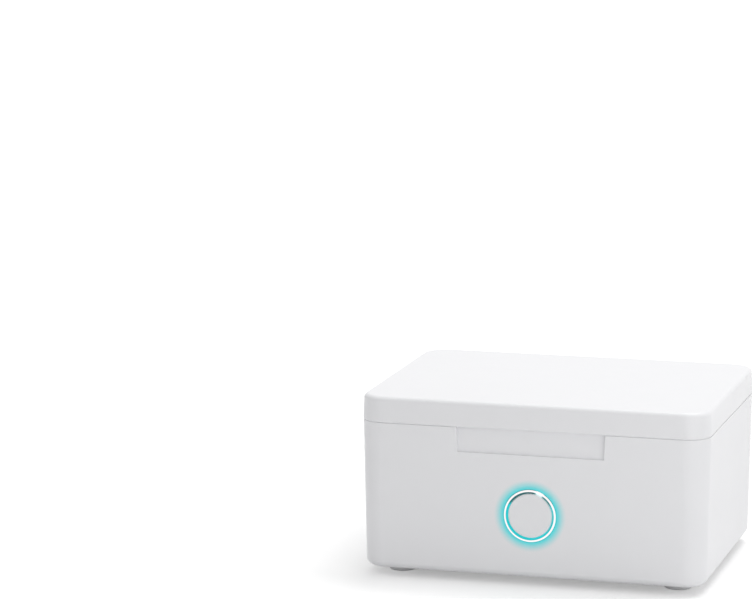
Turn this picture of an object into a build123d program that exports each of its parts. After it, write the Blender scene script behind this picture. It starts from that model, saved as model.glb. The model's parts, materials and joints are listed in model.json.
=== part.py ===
from build123d import *
import os
from math import atan2, cos, degrees, radians, sin, sqrt, tan

os.makedirs("parts", exist_ok=True)

# A desktop drying box for hearing aids. Millimetres, +Z up, front face towards -Y.
# The origin is on the table under the middle of the whole box, hinge barrels included.

# ---- Housing ----
width = 100.0  # across the lid's lower edge
depth = 75.5  # front to back at the lid's lower edge
base_height = 42.4  # from the underside of the base to the lid's lower edge
lid_height = 7.2
foot_height = 2.5  # the feet hold the base this far off the table
corner_radius = 7.2  # in plan
base_draft = 0.8  # each wall leans in by this much at the bottom
lid_draft = 0.3  # and the lid's walls by this much at the top
base_edge_radius = 2.1
lid_edge_radius = 1.35
rim_radius = 0.3  # broken edge along the seam
wall = 2.4
lid_wall = 2.0
lid_top = 2.2
lid_overhang = 0.1  # the lid stands proud of the base all round
lid_gap = 0.2  # open seam between lid and base
bottom_lip = 3.8  # height of the thick rim round the bottom opening

# ---- Finger recess under the lid's front edge ----
recess_width = 42.6
recess_height = 7.2
recess_depth = 1.6  # at the seam
recess_depth_low = 0.9  # at its lower edge
recess_side_draft = 0.4  # how much narrower it is at the bottom, each side
recess_edge = 0.25  # broken edge round the recess
recess_wall = 1.6  # wall left behind the recess

# ---- Lid hinge ----
hinge_side_margin = 23.0  # middle of each hinge from the sides
knuckle_radius = 2.3
hinge_offset = 1.0  # hinge axis behind the rear face
lid_knuckle_width = 9.0
base_knuckle_width = 4.5
knuckle_gap = 0.25  # side play beside each lid knuckle
knuckle_clearance = 0.35  # round each knuckle, where it passes into the other half
hinge_pad = 1.6  # extra wall behind each hinge
pin_radius = 0.8
pin_running_fit = 0.05  # radial, in the lid's knuckle
pin_press = 0.01  # radial, in the base's knuckles

# ---- Button, light ring and front board, as depths behind the front face ----
button_height = 18.0  # button axis above the underside of the base
ring_radius = 7.5
ring_bore = 6.55
ring_proud = 0.3
ring_bevel = 0.25
ring_flange_radius = 9.3
ring_flange = 1.2
ring_skirt_radius = 8.6
ring_seat_depth = 2.8  # flat inner seat for the ring's flange
ring_seat_margin = 0.2  # the seat is this much wider than the flange
ring_length = 6.2
ring_fit = 0.05
button_fit = 0.15  # radial gap between cap and ring
button_proud = 0.1
button_wall = 1.4
button_flange = 1.0
button_flange_radius = 7.1
button_stop_depth = 3.4  # the cap's flange rests against this step in the ring
button_travel = 0.4
button_crown_radius = 0.5
stem_radius = 1.7
switch_size = 6.2
switch_height = 3.4
plunger_radius = 1.6
plunger_length = 1.5
plunger_proud = 0.8
led_length = 2.8
led_width = 1.6
led_height = 1.6
led_count = 8
front_board_depth = 8.8
front_board_width = 29.0
front_board_height = 19.0
front_post_spacing = 23.6
front_post_radius = 2.1

# ---- Drying tub ----
tub_wall = 1.8
tub_floor = 2.4
tub_floor_height = 21.5  # top of the tub's floor above the underside of the base
flange_drop = 0.8  # the flange lies this far under the base's rim
flange_thickness = 1.6
flange_gap = 0.25  # between the flange and the walls round it
ledge_width = 1.6  # the flange rests on this ledge
ledge_height = 2.0
tub_side_margin = 7.0  # from the base's outer side to the tub's mouth
tub_rear_margin = 8.2
tub_front_draft = 12.0  # degrees
tub_draft = 8.0  # degrees, sides and rear
tub_mouth_corner = 8.0
tub_floor_corner = 6.0
tub_mouth_edge = 0.7  # rounded edge round the tub's mouth
tub_floor_fillet = 2.0
tub_clearance = 0.4  # to the front board

# ---- Air path ----
grille_length = 56.0
grille_depth = 38.0
grille_thickness = 1.2
grille_ledge = 2.0
grille_fit = 0.15
grille_slot_length = 9.0
grille_slot_width = 1.8
grille_columns = 4
grille_rows = 9
duct_bore = 28.0
duct_wall = 1.5
duct_height = 5.4  # straight part of the duct above the fan
duct_flange = 2.0  # the duct's rim under the tub stands out by this much
duct_flange_thickness = 1.5
heater_height = 3.6
heater_lift = 0.9  # ledge height under the heater
heater_ledge = 1.4
heater_gap = 0.5  # between the heater and the duct
heater_core_width = 2.6
fin_count = 12
fin_thickness = 0.6
fin_spine = 0.8
vent_slots = 7
vent_slot_width = 1.8
vent_slot_length = 9.0
vent_pitch = 4.0
vent_drop = 11.5  # middle of the rear vents under the seam

# ---- Fan ----
fan_size = 30.0
fan_height = 7.0
fan_corner = 2.5
fan_bore = 14.2
fan_hole_inset = 3.0  # hole centre from the frame's sides
fan_hole_radius = 1.6
fan_base_radius = 6.0
fan_base_thickness = 1.2
fan_strut_width = 1.8
bearing_outer = 1.8
bearing_bore = 0.80
bearing_post = 2.6
bearing_length = 3.6
shaft_radius = 0.75
impeller_radius = 13.2
impeller_hub_radius = 6.0
impeller_hub_wall = 1.0
blade_count = 7
blade_thickness = 0.8
blade_root_angle = 42.0
blade_tip_angle = 28.0
blade_root_chord = 6.2
blade_tip_chord = 8.4
fan_running_gap = 0.4  # between the impeller and the frame's base
stator_radius = 4.3

# ---- Bottom cover, posts and screws ----
cover_margin = 4.0  # from the base's bottom outline to the cover
cover_thickness = 2.0
cover_corner = 3.4
cover_ledge = 1.6  # the cover seats this far over the shell's lip
cover_fit = 0.15
cover_boss_radius = 3.8
cover_boss_height = 1.5
post_radius = 3.2
post_side_margin = 13.0  # post centre from the sides
post_end_margin = 20.5  # and from the front and rear faces
screw_radius = 1.3
screw_length = 9.0
screw_head_radius = 2.3
screw_head_height = 1.5
screw_play = 0.3  # round the head and shank in the cover
counterbore_depth = 1.9
fan_pad = 0.6
fan_pad_size = 5.0
fan_rim = 1.2
fan_rim_height = 2.5
fan_fit = 0.2
intake_slots = 7
intake_slot_width = 1.8
intake_pitch = 3.4

# ---- Feet ----
foot_radius = 4.1
foot_edge = 0.8
foot_seat = 0.4  # each foot is let into the cover by this much
foot_fit = 0.05  # radial
foot_side_margin = 10.0  # foot centre from the sides
foot_end_margin = 12.0  # and from the front and rear faces

# ---- Main board ----
board_width = 62.0
board_thickness = 1.6
board_lift = 2.5  # standoffs on the cover
board_rear_gap = 0.9
board_fan_gap = 0.6
board_edge = 0.6  # bare edge in front of the connectors
standoff_radius = 2.2
small_screw_radius = 0.95
small_head_radius = 1.9
small_head_height = 1.2
small_screw_grip = 3.0  # thread length past the board
small_screw_inset = 2.8
thread_gap = 0.03
socket_width = 8.94
socket_height = 3.26
socket_length = 7.35
socket_wall = 0.3
socket_depth = 6.2
socket_tongue_width = 6.7
socket_tongue = 0.7
socket_tongue_length = 5.0
socket_fit = 0.3
inlet_recess_width = 12.6
inlet_recess_height = 6.8
inlet_recess_depth = 0.8
chip_size = 7.0
chip_height = 1.0
chip_x = 11.5
capacitor_radius = 2.5
capacitor_height = 6.5
capacitor_x = -23.5
capacitor_pitch = 6.0
connector_width = 7.5
connector_depth = 3.6
connector_height = 4.2
heater_connector_x = -9.5

# ---- Cables ----
cable_radius = 0.8
cable_bend = 3.6
cable_rise = 4.4  # each cable comes down onto its connector from this height
cable_gap = 4.6  # from the duct's or the fan's side to the middle of a cable
cable_pitch = 3.8  # between the fan's and the button's cables on their connector
cable_play = 0.3  # round the heater's cable where it passes through the duct
button_cable_x = 10.5
button_cable_drop = 6.0  # it leaves the front board this far under the button's axis

# ---- Lid liner ----
liner_gap = 0.25
liner_lift = 0.5  # its underside above the lid's lower edge
liner_thickness = 1.5
lip_thickness = 1.2
lip_gap = 0.6  # between the liner's lip and the tub's mouth
lip_drop = 1.5  # how far the lip hangs under the lid's lower edge
peg_radius = 1.5
peg_fit = 0.05
peg_boss_radius = 2.8
peg_side_margin = 12.0  # peg centre from the sides
peg_end_margin = 12.75  # and from the front and rear faces

# ---- Heights ----
z_base = foot_height
z_seam = z_base + base_height
z_rim = z_seam - lid_gap
z_top = z_seam + lid_height
z_button = z_base + button_height
z_flange_top = z_rim - flange_drop
z_flange = z_flange_top - flange_thickness
z_floor = z_base + tub_floor_height
z_floor_under = z_floor - tub_floor
z_cover_top = z_base + cover_thickness
z_post_foot = z_cover_top + cover_boss_height
z_fan = z_cover_top + fan_pad
z_fan_top = z_fan + fan_height
z_duct_top = z_fan_top + duct_height
z_heater = z_fan_top + heater_lift
z_board = z_cover_top + board_lift
z_board_top = z_board + board_thickness
z_vent = z_seam - vent_drop

# ---- Outline of the base and where its walls stand ----
shell_height = z_rim - z_base
base_width = width - 2 * lid_overhang
base_depth = depth - 2 * lid_overhang
base_corner = corner_radius - lid_overhang
base_angle = degrees(atan2(base_draft, shell_height))
lid_angle = degrees(atan2(lid_draft, lid_height))
hinge_protrusion = hinge_offset + knuckle_radius
y_centre = -hinge_protrusion / 2
y_rear = y_centre + depth / 2
hinge_y = y_rear + hinge_offset


def lean(z):
    """How far the base's walls have leaned in at height z."""
    return lid_overhang + base_draft * (z_rim - z) / shell_height


def front_face(z):
    return y_centre - depth / 2 + lean(z)


def rear_face(z):
    return y_centre + depth / 2 - lean(z)


def level(z, y=y_centre):
    """A horizontal plane at height z, centred on the housing or on y."""
    return Plane(origin=(0, y, z))


# The button's axis runs front to back; its sections are drawn as (radius, depth).
y_button = front_face(z_button)
button_plane = Plane(origin=(0, y_button, z_button), x_dir=(1, 0, 0), z_dir=(0, 1, 0))
button_section = Plane(origin=(0, y_button, z_button), x_dir=(1, 0, 0), z_dir=(0, 0, 1))
button_axis = Axis((0, y_button, z_button), (0, 1, 0))
front_board_back = front_board_depth + board_thickness
front_board_top = z_button + front_board_height / 2

# ---- The tub's mouth and floor, as front and rear y and half width ----
tub_front_reference = y_button + front_board_back + tub_clearance + tub_wall
front_slope = tan(radians(tub_front_draft))
side_slope = tan(radians(tub_draft))
tub_height = z_flange_top - z_floor
mouth_front = tub_front_reference - front_slope * (z_flange_top - front_board_top)
mouth_rear = y_rear - tub_rear_margin
mouth_half = width / 2 - tub_side_margin
floor_front = mouth_front + front_slope * tub_height
floor_rear = mouth_rear - side_slope * tub_height
floor_half = mouth_half - side_slope * tub_height
under_front = floor_front + front_slope * tub_floor
under_rear = floor_rear - side_slope * tub_floor
under_half = floor_half - side_slope * tub_floor
under_y = (under_front + under_rear) / 2
mouth_y = (mouth_front + mouth_rear) / 2
floor_y = (floor_front + floor_rear) / 2
fan_y = floor_y

hinge_x = width / 2 - hinge_side_margin
hinge_positions = [-hinge_x, hinge_x]
base_knuckle_shift = lid_knuckle_width / 2 + knuckle_gap + base_knuckle_width / 2
hinge_span = lid_knuckle_width + 2 * knuckle_gap + 2 * base_knuckle_width
knuckle_hole = knuckle_radius + knuckle_clearance
pad_half = hinge_span / 2 + knuckle_gap + hinge_pad
pad_height = knuckle_hole + hinge_pad
base_knuckles = [x + side * base_knuckle_shift for x in hinge_positions for side in (-1, 1)]

recess_shelf = recess_depth + recess_wall
recess_pad_half = recess_width / 2 + recess_wall

post_width = width - 2 * post_side_margin
post_depth = depth - 2 * post_end_margin
foot_width = width - 2 * foot_side_margin
foot_depth = depth - 2 * foot_end_margin
peg_width = width - 2 * peg_side_margin
peg_depth = depth - 2 * peg_end_margin
foot_places = {
    "foot_front_left": (-foot_width / 2, -foot_depth / 2),
    "foot_front_right": (foot_width / 2, -foot_depth / 2),
    "foot_rear_left": (-foot_width / 2, foot_depth / 2),
    "foot_rear_right": (foot_width / 2, foot_depth / 2),
}

cover_width = base_width - 2 * (base_draft + cover_margin)
cover_depth = base_depth - 2 * (base_draft + cover_margin)
fan_rim_outer = fan_size + 2 * (fan_fit + fan_rim)
duct_outer = duct_bore + 2 * duct_wall
board_rear = rear_face(z_board) - wall - board_rear_gap
board_front = fan_y + fan_rim_outer / 2 + board_fan_gap
board_depth = board_rear - board_front
board_y = (board_rear + board_front) / 2
board_screw_x = board_width - 2 * small_screw_inset
fan_cable_x = fan_size / 2 + cable_gap
signal_connector_x = fan_cable_x + cable_pitch / 2
signal_cable_x = fan_cable_x + cable_pitch
connector_y = (connector_depth - board_depth) / 2 + board_edge
z_socket = z_board_top + socket_height / 2
socket_face = rear_face(z_socket) - inlet_recess_depth


def finish(piece, name):
    """Labels a finished piece and writes it out under its own name."""
    piece.part.label = name
    export_step(piece.part, f"parts/{name}.step")


# ---------------------------------------------------------------- base shell
# The recess cutter: an outline with drafted sides, sunk into the front wall and
# cut off by a leaning plane, so that the recess is deepest at the seam.
recess_bottom = z_seam - recess_height
recess_lean = degrees(atan2(recess_depth - recess_depth_low, recess_height))
recess_floor = Plane(
    origin=(0, front_face(z_rim) + recess_depth, z_seam),
    x_dir=(1, 0, 0),
    z_dir=(0, cos(radians(recess_lean)), -sin(radians(recess_lean))),
)
with BuildPart() as recess_cutter:
    with BuildSketch(Plane.XZ.offset(-(front_face(z_rim) - recess_depth))):
        with BuildLine():
            Polyline(
                (-recess_width / 2, z_seam),
                (-recess_width / 2 + recess_side_draft, recess_bottom),
                (recess_width / 2 - recess_side_draft, recess_bottom),
                (recess_width / 2, z_seam),
                close=True,
            )
        make_face()
    extrude(amount=-3 * recess_depth)
    split(bisect_by=recess_floor, keep=Keep.BOTTOM)

with BuildPart() as base_shell:
    with BuildSketch(level(z_rim)):
        RectangleRounded(base_width, base_depth, base_corner)
    extrude(amount=-shell_height, taper=base_angle)
    fillet(base_shell.edges().group_by(Axis.Z)[0], base_edge_radius)
    fillet(base_shell.edges().group_by(Axis.Z)[-1], rim_radius)
    with BuildSketch(level(z_rim)):
        RectangleRounded(base_width - 2 * wall, base_depth - 2 * wall, base_corner - wall)
    extrude(amount=bottom_lip - shell_height, taper=base_angle, mode=Mode.SUBTRACT)

    # ledge for the tub's flange
    with BuildSketch(level(z_flange)):
        RectangleRounded(base_width - wall, base_depth - wall, base_corner - wall / 2)
        RectangleRounded(
            base_width - 2 * (wall + ledge_width),
            base_depth - 2 * (wall + ledge_width),
            base_corner - wall,
            mode=Mode.SUBTRACT,
        )
    extrude(amount=-ledge_height)

    # thicker wall behind the finger recess
    with BuildSketch(level(z_rim, front_face(z_rim))):
        with Locations((0, (recess_shelf + wall / 2) / 2)):
            Rectangle(2 * recess_pad_half, recess_shelf - wall / 2)
    extrude(amount=-(recess_height + recess_wall))

    # thicker wall behind each hinge
    with BuildSketch(level(z_rim, rear_face(z_rim))):
        with Locations(*[(x, -(wall / 2 + wall + hinge_pad) / 2) for x in hinge_positions]):
            Rectangle(2 * pad_half, wall / 2 + hinge_pad)
    extrude(amount=-pad_height)

    # flat seat for the light ring and posts for the front board
    with BuildSketch(button_plane.offset(wall / 2)):
        Circle(ring_flange_radius + ring_seat_margin)
    extrude(amount=ring_seat_depth - wall / 2)
    with BuildSketch(button_plane.offset(wall / 2)):
        with Locations((-front_post_spacing / 2, 0), (front_post_spacing / 2, 0)):
            Circle(front_post_radius)
    extrude(amount=front_board_depth - wall / 2)
    with BuildSketch(button_plane.offset(front_board_depth)):
        with Locations((-front_post_spacing / 2, 0), (front_post_spacing / 2, 0)):
            Circle(small_screw_radius + thread_gap)
    extrude(amount=-(small_screw_grip + screw_play), mode=Mode.SUBTRACT)

    # knuckles, each carried by a gusset that runs out of the rear wall
    for x in base_knuckles:
        with BuildSketch(Plane.YZ.offset(x - base_knuckle_width / 2)):
            with Locations((hinge_y, z_seam)):
                Circle(knuckle_radius)
            with BuildLine():
                Polyline(
                    (y_rear - wall / 2, z_seam - lid_gap - knuckle_radius / 2),
                    (hinge_y, z_seam),
                    (hinge_y + knuckle_radius * cos(radians(35)), z_seam - knuckle_radius * sin(radians(35))),
                    (y_rear - wall / 2, z_seam - 4 * knuckle_radius),
                    close=True,
                )
            make_face()
        extrude(amount=base_knuckle_width)
    for x in hinge_positions:
        with BuildSketch(Plane.YZ.offset(x - lid_knuckle_width / 2 - knuckle_gap)):
            with Locations((hinge_y, z_seam)):
                Circle(knuckle_hole)
        extrude(amount=lid_knuckle_width + 2 * knuckle_gap, mode=Mode.SUBTRACT)
    for x in base_knuckles:
        with BuildSketch(Plane.YZ.offset(x - base_knuckle_width / 2)):
            with Locations((hinge_y, z_seam)):
                Circle(pin_radius - pin_press)
        extrude(amount=base_knuckle_width, mode=Mode.SUBTRACT)

    # finger recess, with a broken edge where it meets the front face
    add(recess_cutter.part, mode=Mode.SUBTRACT)
    recess_outline = (
        base_shell.edges(Select.LAST)
        .filter_by_position(Axis.X, -recess_width / 2, recess_width / 2)
        .filter_by_position(Axis.Y, front_face(z_top), front_face(recess_bottom) + recess_edge / 2)
        .filter_by_position(Axis.Z, z_base, z_rim - rim_radius)
    )
    fillet(recess_outline, recess_edge)

    # stepped bottom opening
    with BuildSketch(level(z_base)):
        RectangleRounded(cover_width + 2 * cover_fit, cover_depth + 2 * cover_fit, cover_corner + cover_fit)
    extrude(amount=cover_thickness, mode=Mode.SUBTRACT)
    with BuildSketch(level(z_base)):
        RectangleRounded(cover_width - 2 * cover_ledge, cover_depth - 2 * cover_ledge, cover_corner)
    extrude(amount=bottom_lip, mode=Mode.SUBTRACT)

    # the light ring's hole
    with BuildSketch(button_plane.offset(-wall)):
        Circle(ring_radius + ring_fit)
    extrude(amount=2 * wall + ring_seat_depth, mode=Mode.SUBTRACT)

    # rear vents and the power inlet
    with BuildSketch(Plane.XZ.offset(-(y_rear + wall))):
        with Locations((0, z_vent)):
            with GridLocations(vent_pitch, 0, vent_slots, 1):
                SlotOverall(vent_slot_length, vent_slot_width, rotation=90)
    extrude(amount=3 * wall, mode=Mode.SUBTRACT)
    with BuildSketch(Plane.XZ.offset(-(y_rear + wall))):
        with Locations((0, z_socket)):
            SlotOverall(socket_width + 2 * socket_fit, socket_height + 2 * socket_fit)
    extrude(amount=4 * wall, mode=Mode.SUBTRACT)
    with BuildSketch(Plane.XZ.offset(-socket_face)):
        with Locations((0, z_socket)):
            SlotOverall(inlet_recess_width, inlet_recess_height)
    extrude(amount=-4 * inlet_recess_depth, mode=Mode.SUBTRACT)
finish(base_shell, "base_shell")

# ---------------------------------------------------------------- lid
with BuildPart() as lid_shell:
    with BuildSketch(level(z_seam)):
        RectangleRounded(width, depth, corner_radius)
    extrude(amount=lid_height, taper=lid_angle)
    fillet(lid_shell.edges().group_by(Axis.Z)[-1], lid_edge_radius)
    fillet(lid_shell.edges().group_by(Axis.Z)[0], rim_radius)
    with BuildSketch(level(z_seam)):
        RectangleRounded(width - 2 * lid_wall, depth - 2 * lid_wall, corner_radius - lid_wall)
    extrude(amount=lid_height - lid_top, taper=lid_angle, mode=Mode.SUBTRACT)

    # thicker wall behind each hinge, and sockets for the liner's pegs
    with BuildSketch(level(z_seam, y_rear)):
        with Locations(*[(x, -(lid_wall / 2 + lid_wall + hinge_pad) / 2) for x in hinge_positions]):
            Rectangle(2 * pad_half, lid_wall / 2 + hinge_pad)
    extrude(amount=lid_height - lid_top)
    with BuildSketch(level(z_top - lid_top)):
        with GridLocations(peg_width, peg_depth, 2, 2):
            Circle(peg_boss_radius)
            Circle(peg_radius + peg_fit, mode=Mode.SUBTRACT)
    extrude(amount=-(lid_height - lid_top - liner_lift - liner_thickness) / 2)

    # knuckles, each on a web out of the rear wall
    for x in hinge_positions:
        with BuildSketch(Plane.YZ.offset(x - lid_knuckle_width / 2)):
            with Locations((hinge_y, z_seam)):
                Circle(knuckle_radius)
            with Locations((y_rear - lid_wall / 2, z_seam)):
                Rectangle(hinge_offset + lid_wall / 2, knuckle_radius, align=(Align.MIN, Align.MIN))
        extrude(amount=lid_knuckle_width)
    for x in base_knuckles:
        with BuildSketch(Plane.YZ.offset(x - base_knuckle_width / 2 - knuckle_gap)):
            with Locations((hinge_y, z_seam)):
                Circle(knuckle_hole)
        extrude(amount=base_knuckle_width + 2 * knuckle_gap, mode=Mode.SUBTRACT)
    for x in hinge_positions:
        with BuildSketch(Plane.YZ.offset(x - lid_knuckle_width / 2)):
            with Locations((hinge_y, z_seam)):
                Circle(pin_radius + pin_running_fit)
        extrude(amount=lid_knuckle_width, mode=Mode.SUBTRACT)
finish(lid_shell, "lid_shell")

# The liner closes the lid from below and drops a lip into the tub's mouth.
liner_inset = 2 * (lid_wall + lid_draft + liner_gap)
z_liner = z_seam + liner_lift
lip_plane = level(z_seam - lip_drop, mouth_y)
lip_width = 2 * (mouth_half - lip_gap)
lip_depth = mouth_rear - mouth_front - 2 * lip_gap
with BuildPart() as lid_liner:
    with BuildSketch(level(z_liner)):
        RectangleRounded(width - liner_inset, depth - liner_inset, corner_radius - lid_wall)
        with Locations(*[(x, depth / 2) for x in hinge_positions]):
            Rectangle(2 * (pad_half + liner_gap), 2 * (lid_wall + hinge_pad + liner_gap), mode=Mode.SUBTRACT)
    extrude(amount=liner_thickness)
    with BuildSketch(lip_plane):
        RectangleRounded(lip_width, lip_depth, tub_mouth_corner - lip_gap)
        RectangleRounded(
            lip_width - 2 * lip_thickness,
            lip_depth - 2 * lip_thickness,
            tub_mouth_corner - lip_gap - lip_thickness,
            mode=Mode.SUBTRACT,
        )
    extrude(amount=lip_drop + liner_lift)
    fillet(lid_liner.edges().group_by(Axis.Z)[0], lip_thickness / 4)
    with BuildSketch(level(z_liner + liner_thickness)):
        with GridLocations(peg_width, peg_depth, 2, 2):
            Circle(peg_radius)
    extrude(amount=lid_height - lid_top - liner_lift - liner_thickness)
finish(lid_liner, "lid_liner")

for x, name in zip(hinge_positions, ("hinge_pin_left", "hinge_pin_right")):
    with BuildPart() as hinge_pin:
        with BuildSketch(Plane.YZ.offset(x - hinge_span / 2)):
            with Locations((hinge_y, z_seam)):
                Circle(pin_radius)
        extrude(amount=hinge_span)
    finish(hinge_pin, name)

# ---------------------------------------------------------------- drying tub
grille_seat = z_floor - grille_thickness
grille_open_length = grille_length - 2 * grille_ledge
grille_open_depth = grille_depth - 2 * grille_ledge
with BuildPart() as chamber_tub:
    # flange, notched where the base's wall is thicker
    flange_inset = 2 * (wall + lean(z_flange) + flange_gap)
    with BuildSketch(level(z_flange)):
        RectangleRounded(width - flange_inset, depth - flange_inset, base_corner - wall)
        with Locations((0, front_face(z_rim) - y_centre)):
            Rectangle(
                2 * (recess_pad_half + flange_gap),
                2 * (recess_shelf + flange_gap),
                mode=Mode.SUBTRACT,
            )
        with Locations(*[(x, rear_face(z_rim) - y_centre) for x in hinge_positions]):
            Rectangle(2 * (pad_half + flange_gap), 2 * (wall + hinge_pad + flange_gap), mode=Mode.SUBTRACT)
    extrude(amount=flange_thickness)

    # pocket walls
    with BuildSketch(level(z_flange_top, mouth_y)):
        RectangleRounded(
            2 * (mouth_half + tub_wall),
            mouth_rear - mouth_front + 2 * tub_wall,
            tub_mouth_corner + tub_wall,
        )
    with BuildSketch(level(z_floor_under, under_y)):
        RectangleRounded(
            2 * (under_half + tub_wall),
            under_rear - under_front + 2 * tub_wall,
            tub_floor_corner + tub_wall,
        )
    loft()
    fillet(chamber_tub.edges().group_by(Axis.Z)[0], tub_floor_fillet)

    # posts for the cover's screws
    with BuildSketch(level(z_post_foot)):
        with GridLocations(post_width, post_depth, 2, 2):
            Circle(post_radius)
    extrude(amount=z_floor - z_post_foot)

    # the pocket itself
    with BuildSketch(level(z_flange_top, mouth_y)):
        RectangleRounded(2 * mouth_half, mouth_rear - mouth_front, tub_mouth_corner)
    with BuildSketch(level(z_floor, floor_y)):
        RectangleRounded(2 * floor_half, floor_rear - floor_front, tub_floor_corner)
    loft(mode=Mode.SUBTRACT)
    fillet(chamber_tub.edges(Select.LAST).group_by(Axis.Z)[-1], tub_mouth_edge)
    fillet(chamber_tub.edges().filter_by_position(Axis.Z, z_floor, z_floor), tub_floor_fillet)

    # seat and opening for the grille
    with BuildSketch(level(grille_seat, floor_y)):
        RectangleRounded(grille_length + 2 * grille_fit, grille_depth + 2 * grille_fit, grille_ledge)
    extrude(amount=grille_thickness, mode=Mode.SUBTRACT)
    with BuildSketch(level(z_floor_under, floor_y)):
        RectangleRounded(grille_open_length, grille_open_depth, grille_ledge)
    extrude(amount=tub_floor, mode=Mode.SUBTRACT)

    # pilot holes, and vents through the rear wall
    with BuildSketch(level(z_post_foot)):
        with GridLocations(post_width, post_depth, 2, 2):
            Circle(screw_radius + thread_gap)
    extrude(amount=screw_length, mode=Mode.SUBTRACT)
    with BuildSketch(Plane.XZ.offset(-mouth_rear - tub_rear_margin)):
        with Locations((0, z_vent)):
            with GridLocations(vent_pitch, 0, vent_slots, 1):
                SlotOverall(vent_slot_length, vent_slot_width, rotation=90)
    extrude(amount=2 * tub_rear_margin, mode=Mode.SUBTRACT)
finish(chamber_tub, "chamber_tub")

with BuildPart() as drying_grille:
    with BuildSketch(level(grille_seat, floor_y)):
        RectangleRounded(grille_length, grille_depth, grille_ledge)
        with GridLocations(
            grille_open_length / grille_columns,
            grille_open_depth / grille_rows,
            grille_columns,
            grille_rows,
        ):
            SlotOverall(grille_slot_length, grille_slot_width, mode=Mode.SUBTRACT)
    extrude(amount=grille_thickness)
finish(drying_grille, "drying_grille")

# ---------------------------------------------------------------- air duct
# It stands on the fan, holds the heater, and widens into a hopper under the tub's floor.
hopper_length = grille_open_length + 2 * duct_wall
hopper_depth = grille_open_depth + 2 * duct_wall
with BuildPart() as air_duct:
    with BuildSketch(level(z_fan_top, fan_y)):
        RectangleRounded(duct_outer, duct_outer, fan_corner)
    extrude(amount=duct_height)
    with BuildSketch(level(z_duct_top, fan_y)):
        RectangleRounded(duct_outer, duct_outer, fan_corner)
    with BuildSketch(level(z_floor_under, floor_y)):
        RectangleRounded(hopper_length, hopper_depth, fan_corner)
    loft()
    with BuildSketch(level(z_floor_under, floor_y)):
        RectangleRounded(
            hopper_length + 2 * duct_flange,
            hopper_depth + 2 * duct_flange,
            fan_corner + duct_flange,
        )
    extrude(amount=-duct_flange_thickness)

    # the way through, left open from the fan up to the grille
    with BuildSketch(level(z_fan_top, fan_y)):
        RectangleRounded(duct_bore, duct_bore, duct_wall)
    extrude(amount=duct_height, mode=Mode.SUBTRACT)
    with BuildSketch(level(z_duct_top, fan_y)):
        RectangleRounded(duct_bore, duct_bore, duct_wall)
    with BuildSketch(level(z_floor_under, floor_y)):
        RectangleRounded(grille_open_length, grille_open_depth, grille_ledge)
    loft(mode=Mode.SUBTRACT)

    # two ledges carry the heater, and its cable leaves through a round hole
    with BuildSketch(level(z_fan_top, fan_y)):
        with GridLocations(duct_bore - heater_ledge, 0, 2, 1):
            Rectangle(heater_ledge, duct_bore)
    extrude(amount=heater_lift)
    with BuildSketch(Plane.YZ.offset(-duct_outer / 2)):
        with Locations((fan_y, z_heater + heater_height / 2)):
            Circle(cable_radius + cable_play)
    extrude(amount=duct_wall, mode=Mode.SUBTRACT)
finish(air_duct, "air_duct")

# ---------------------------------------------------------------- heater
heater_length = duct_bore - 2 * heater_gap
fin_depth = (duct_bore - heater_core_width) / 2 - heater_gap
with BuildPart() as heater_core:
    with BuildSketch(level(z_heater, fan_y)):
        Rectangle(heater_length, heater_core_width)
    extrude(amount=heater_height)
finish(heater_core, "heater_core")

with BuildPart() as heater_fins:
    with BuildSketch(level(z_heater, fan_y)):
        for side in (-1, 1):
            with Locations((0, side * (heater_core_width + fin_spine) / 2)):
                Rectangle(heater_length, fin_spine)
            with Locations((0, side * (heater_core_width + fin_depth) / 2)):
                with GridLocations((heater_length - fin_thickness) / (fin_count - 1), 0, fin_count, 1):
                    Rectangle(fin_thickness, fin_depth)
    extrude(amount=heater_height)
finish(heater_fins, "heater_fins")

# ---------------------------------------------------------------- fan
z_fan_disc = z_fan + fan_base_thickness
z_impeller = z_fan_disc + fan_running_gap
z_impeller_top = z_fan_top - fan_running_gap
fan_plane = level(z_fan, fan_y)
with BuildPart() as fan_frame:
    with BuildSketch(fan_plane):
        RectangleRounded(fan_size, fan_size, fan_corner)
        Circle(fan_bore, mode=Mode.SUBTRACT)
        with GridLocations(fan_size - 2 * fan_hole_inset, fan_size - 2 * fan_hole_inset, 2, 2):
            Circle(fan_hole_radius, mode=Mode.SUBTRACT)
    extrude(amount=fan_height)
    with BuildSketch(fan_plane):
        Circle(fan_base_radius)
        with PolarLocations(fan_bore / 2, 3, start_angle=30):
            Rectangle(fan_bore + fan_strut_width / 2, fan_strut_width)
    extrude(amount=fan_base_thickness)
    with BuildSketch(fan_plane):
        Circle(bearing_post)
    extrude(amount=fan_base_thickness + bearing_length)
    with BuildSketch(fan_plane.offset(fan_base_thickness)):
        Circle(bearing_outer)
    extrude(amount=bearing_length, mode=Mode.SUBTRACT)
finish(fan_frame, "fan_frame")

with BuildPart() as fan_bearing:
    with BuildSketch(fan_plane.offset(fan_base_thickness)):
        Circle(bearing_outer)
        Circle(bearing_bore, mode=Mode.SUBTRACT)
    extrude(amount=bearing_length)
finish(fan_bearing, "fan_bearing")

with BuildPart() as fan_stator:
    with BuildSketch(fan_plane.offset(fan_base_thickness)):
        Circle(stator_radius)
        Circle(bearing_post, mode=Mode.SUBTRACT)
    extrude(amount=bearing_length)
finish(fan_stator, "fan_stator")

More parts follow.
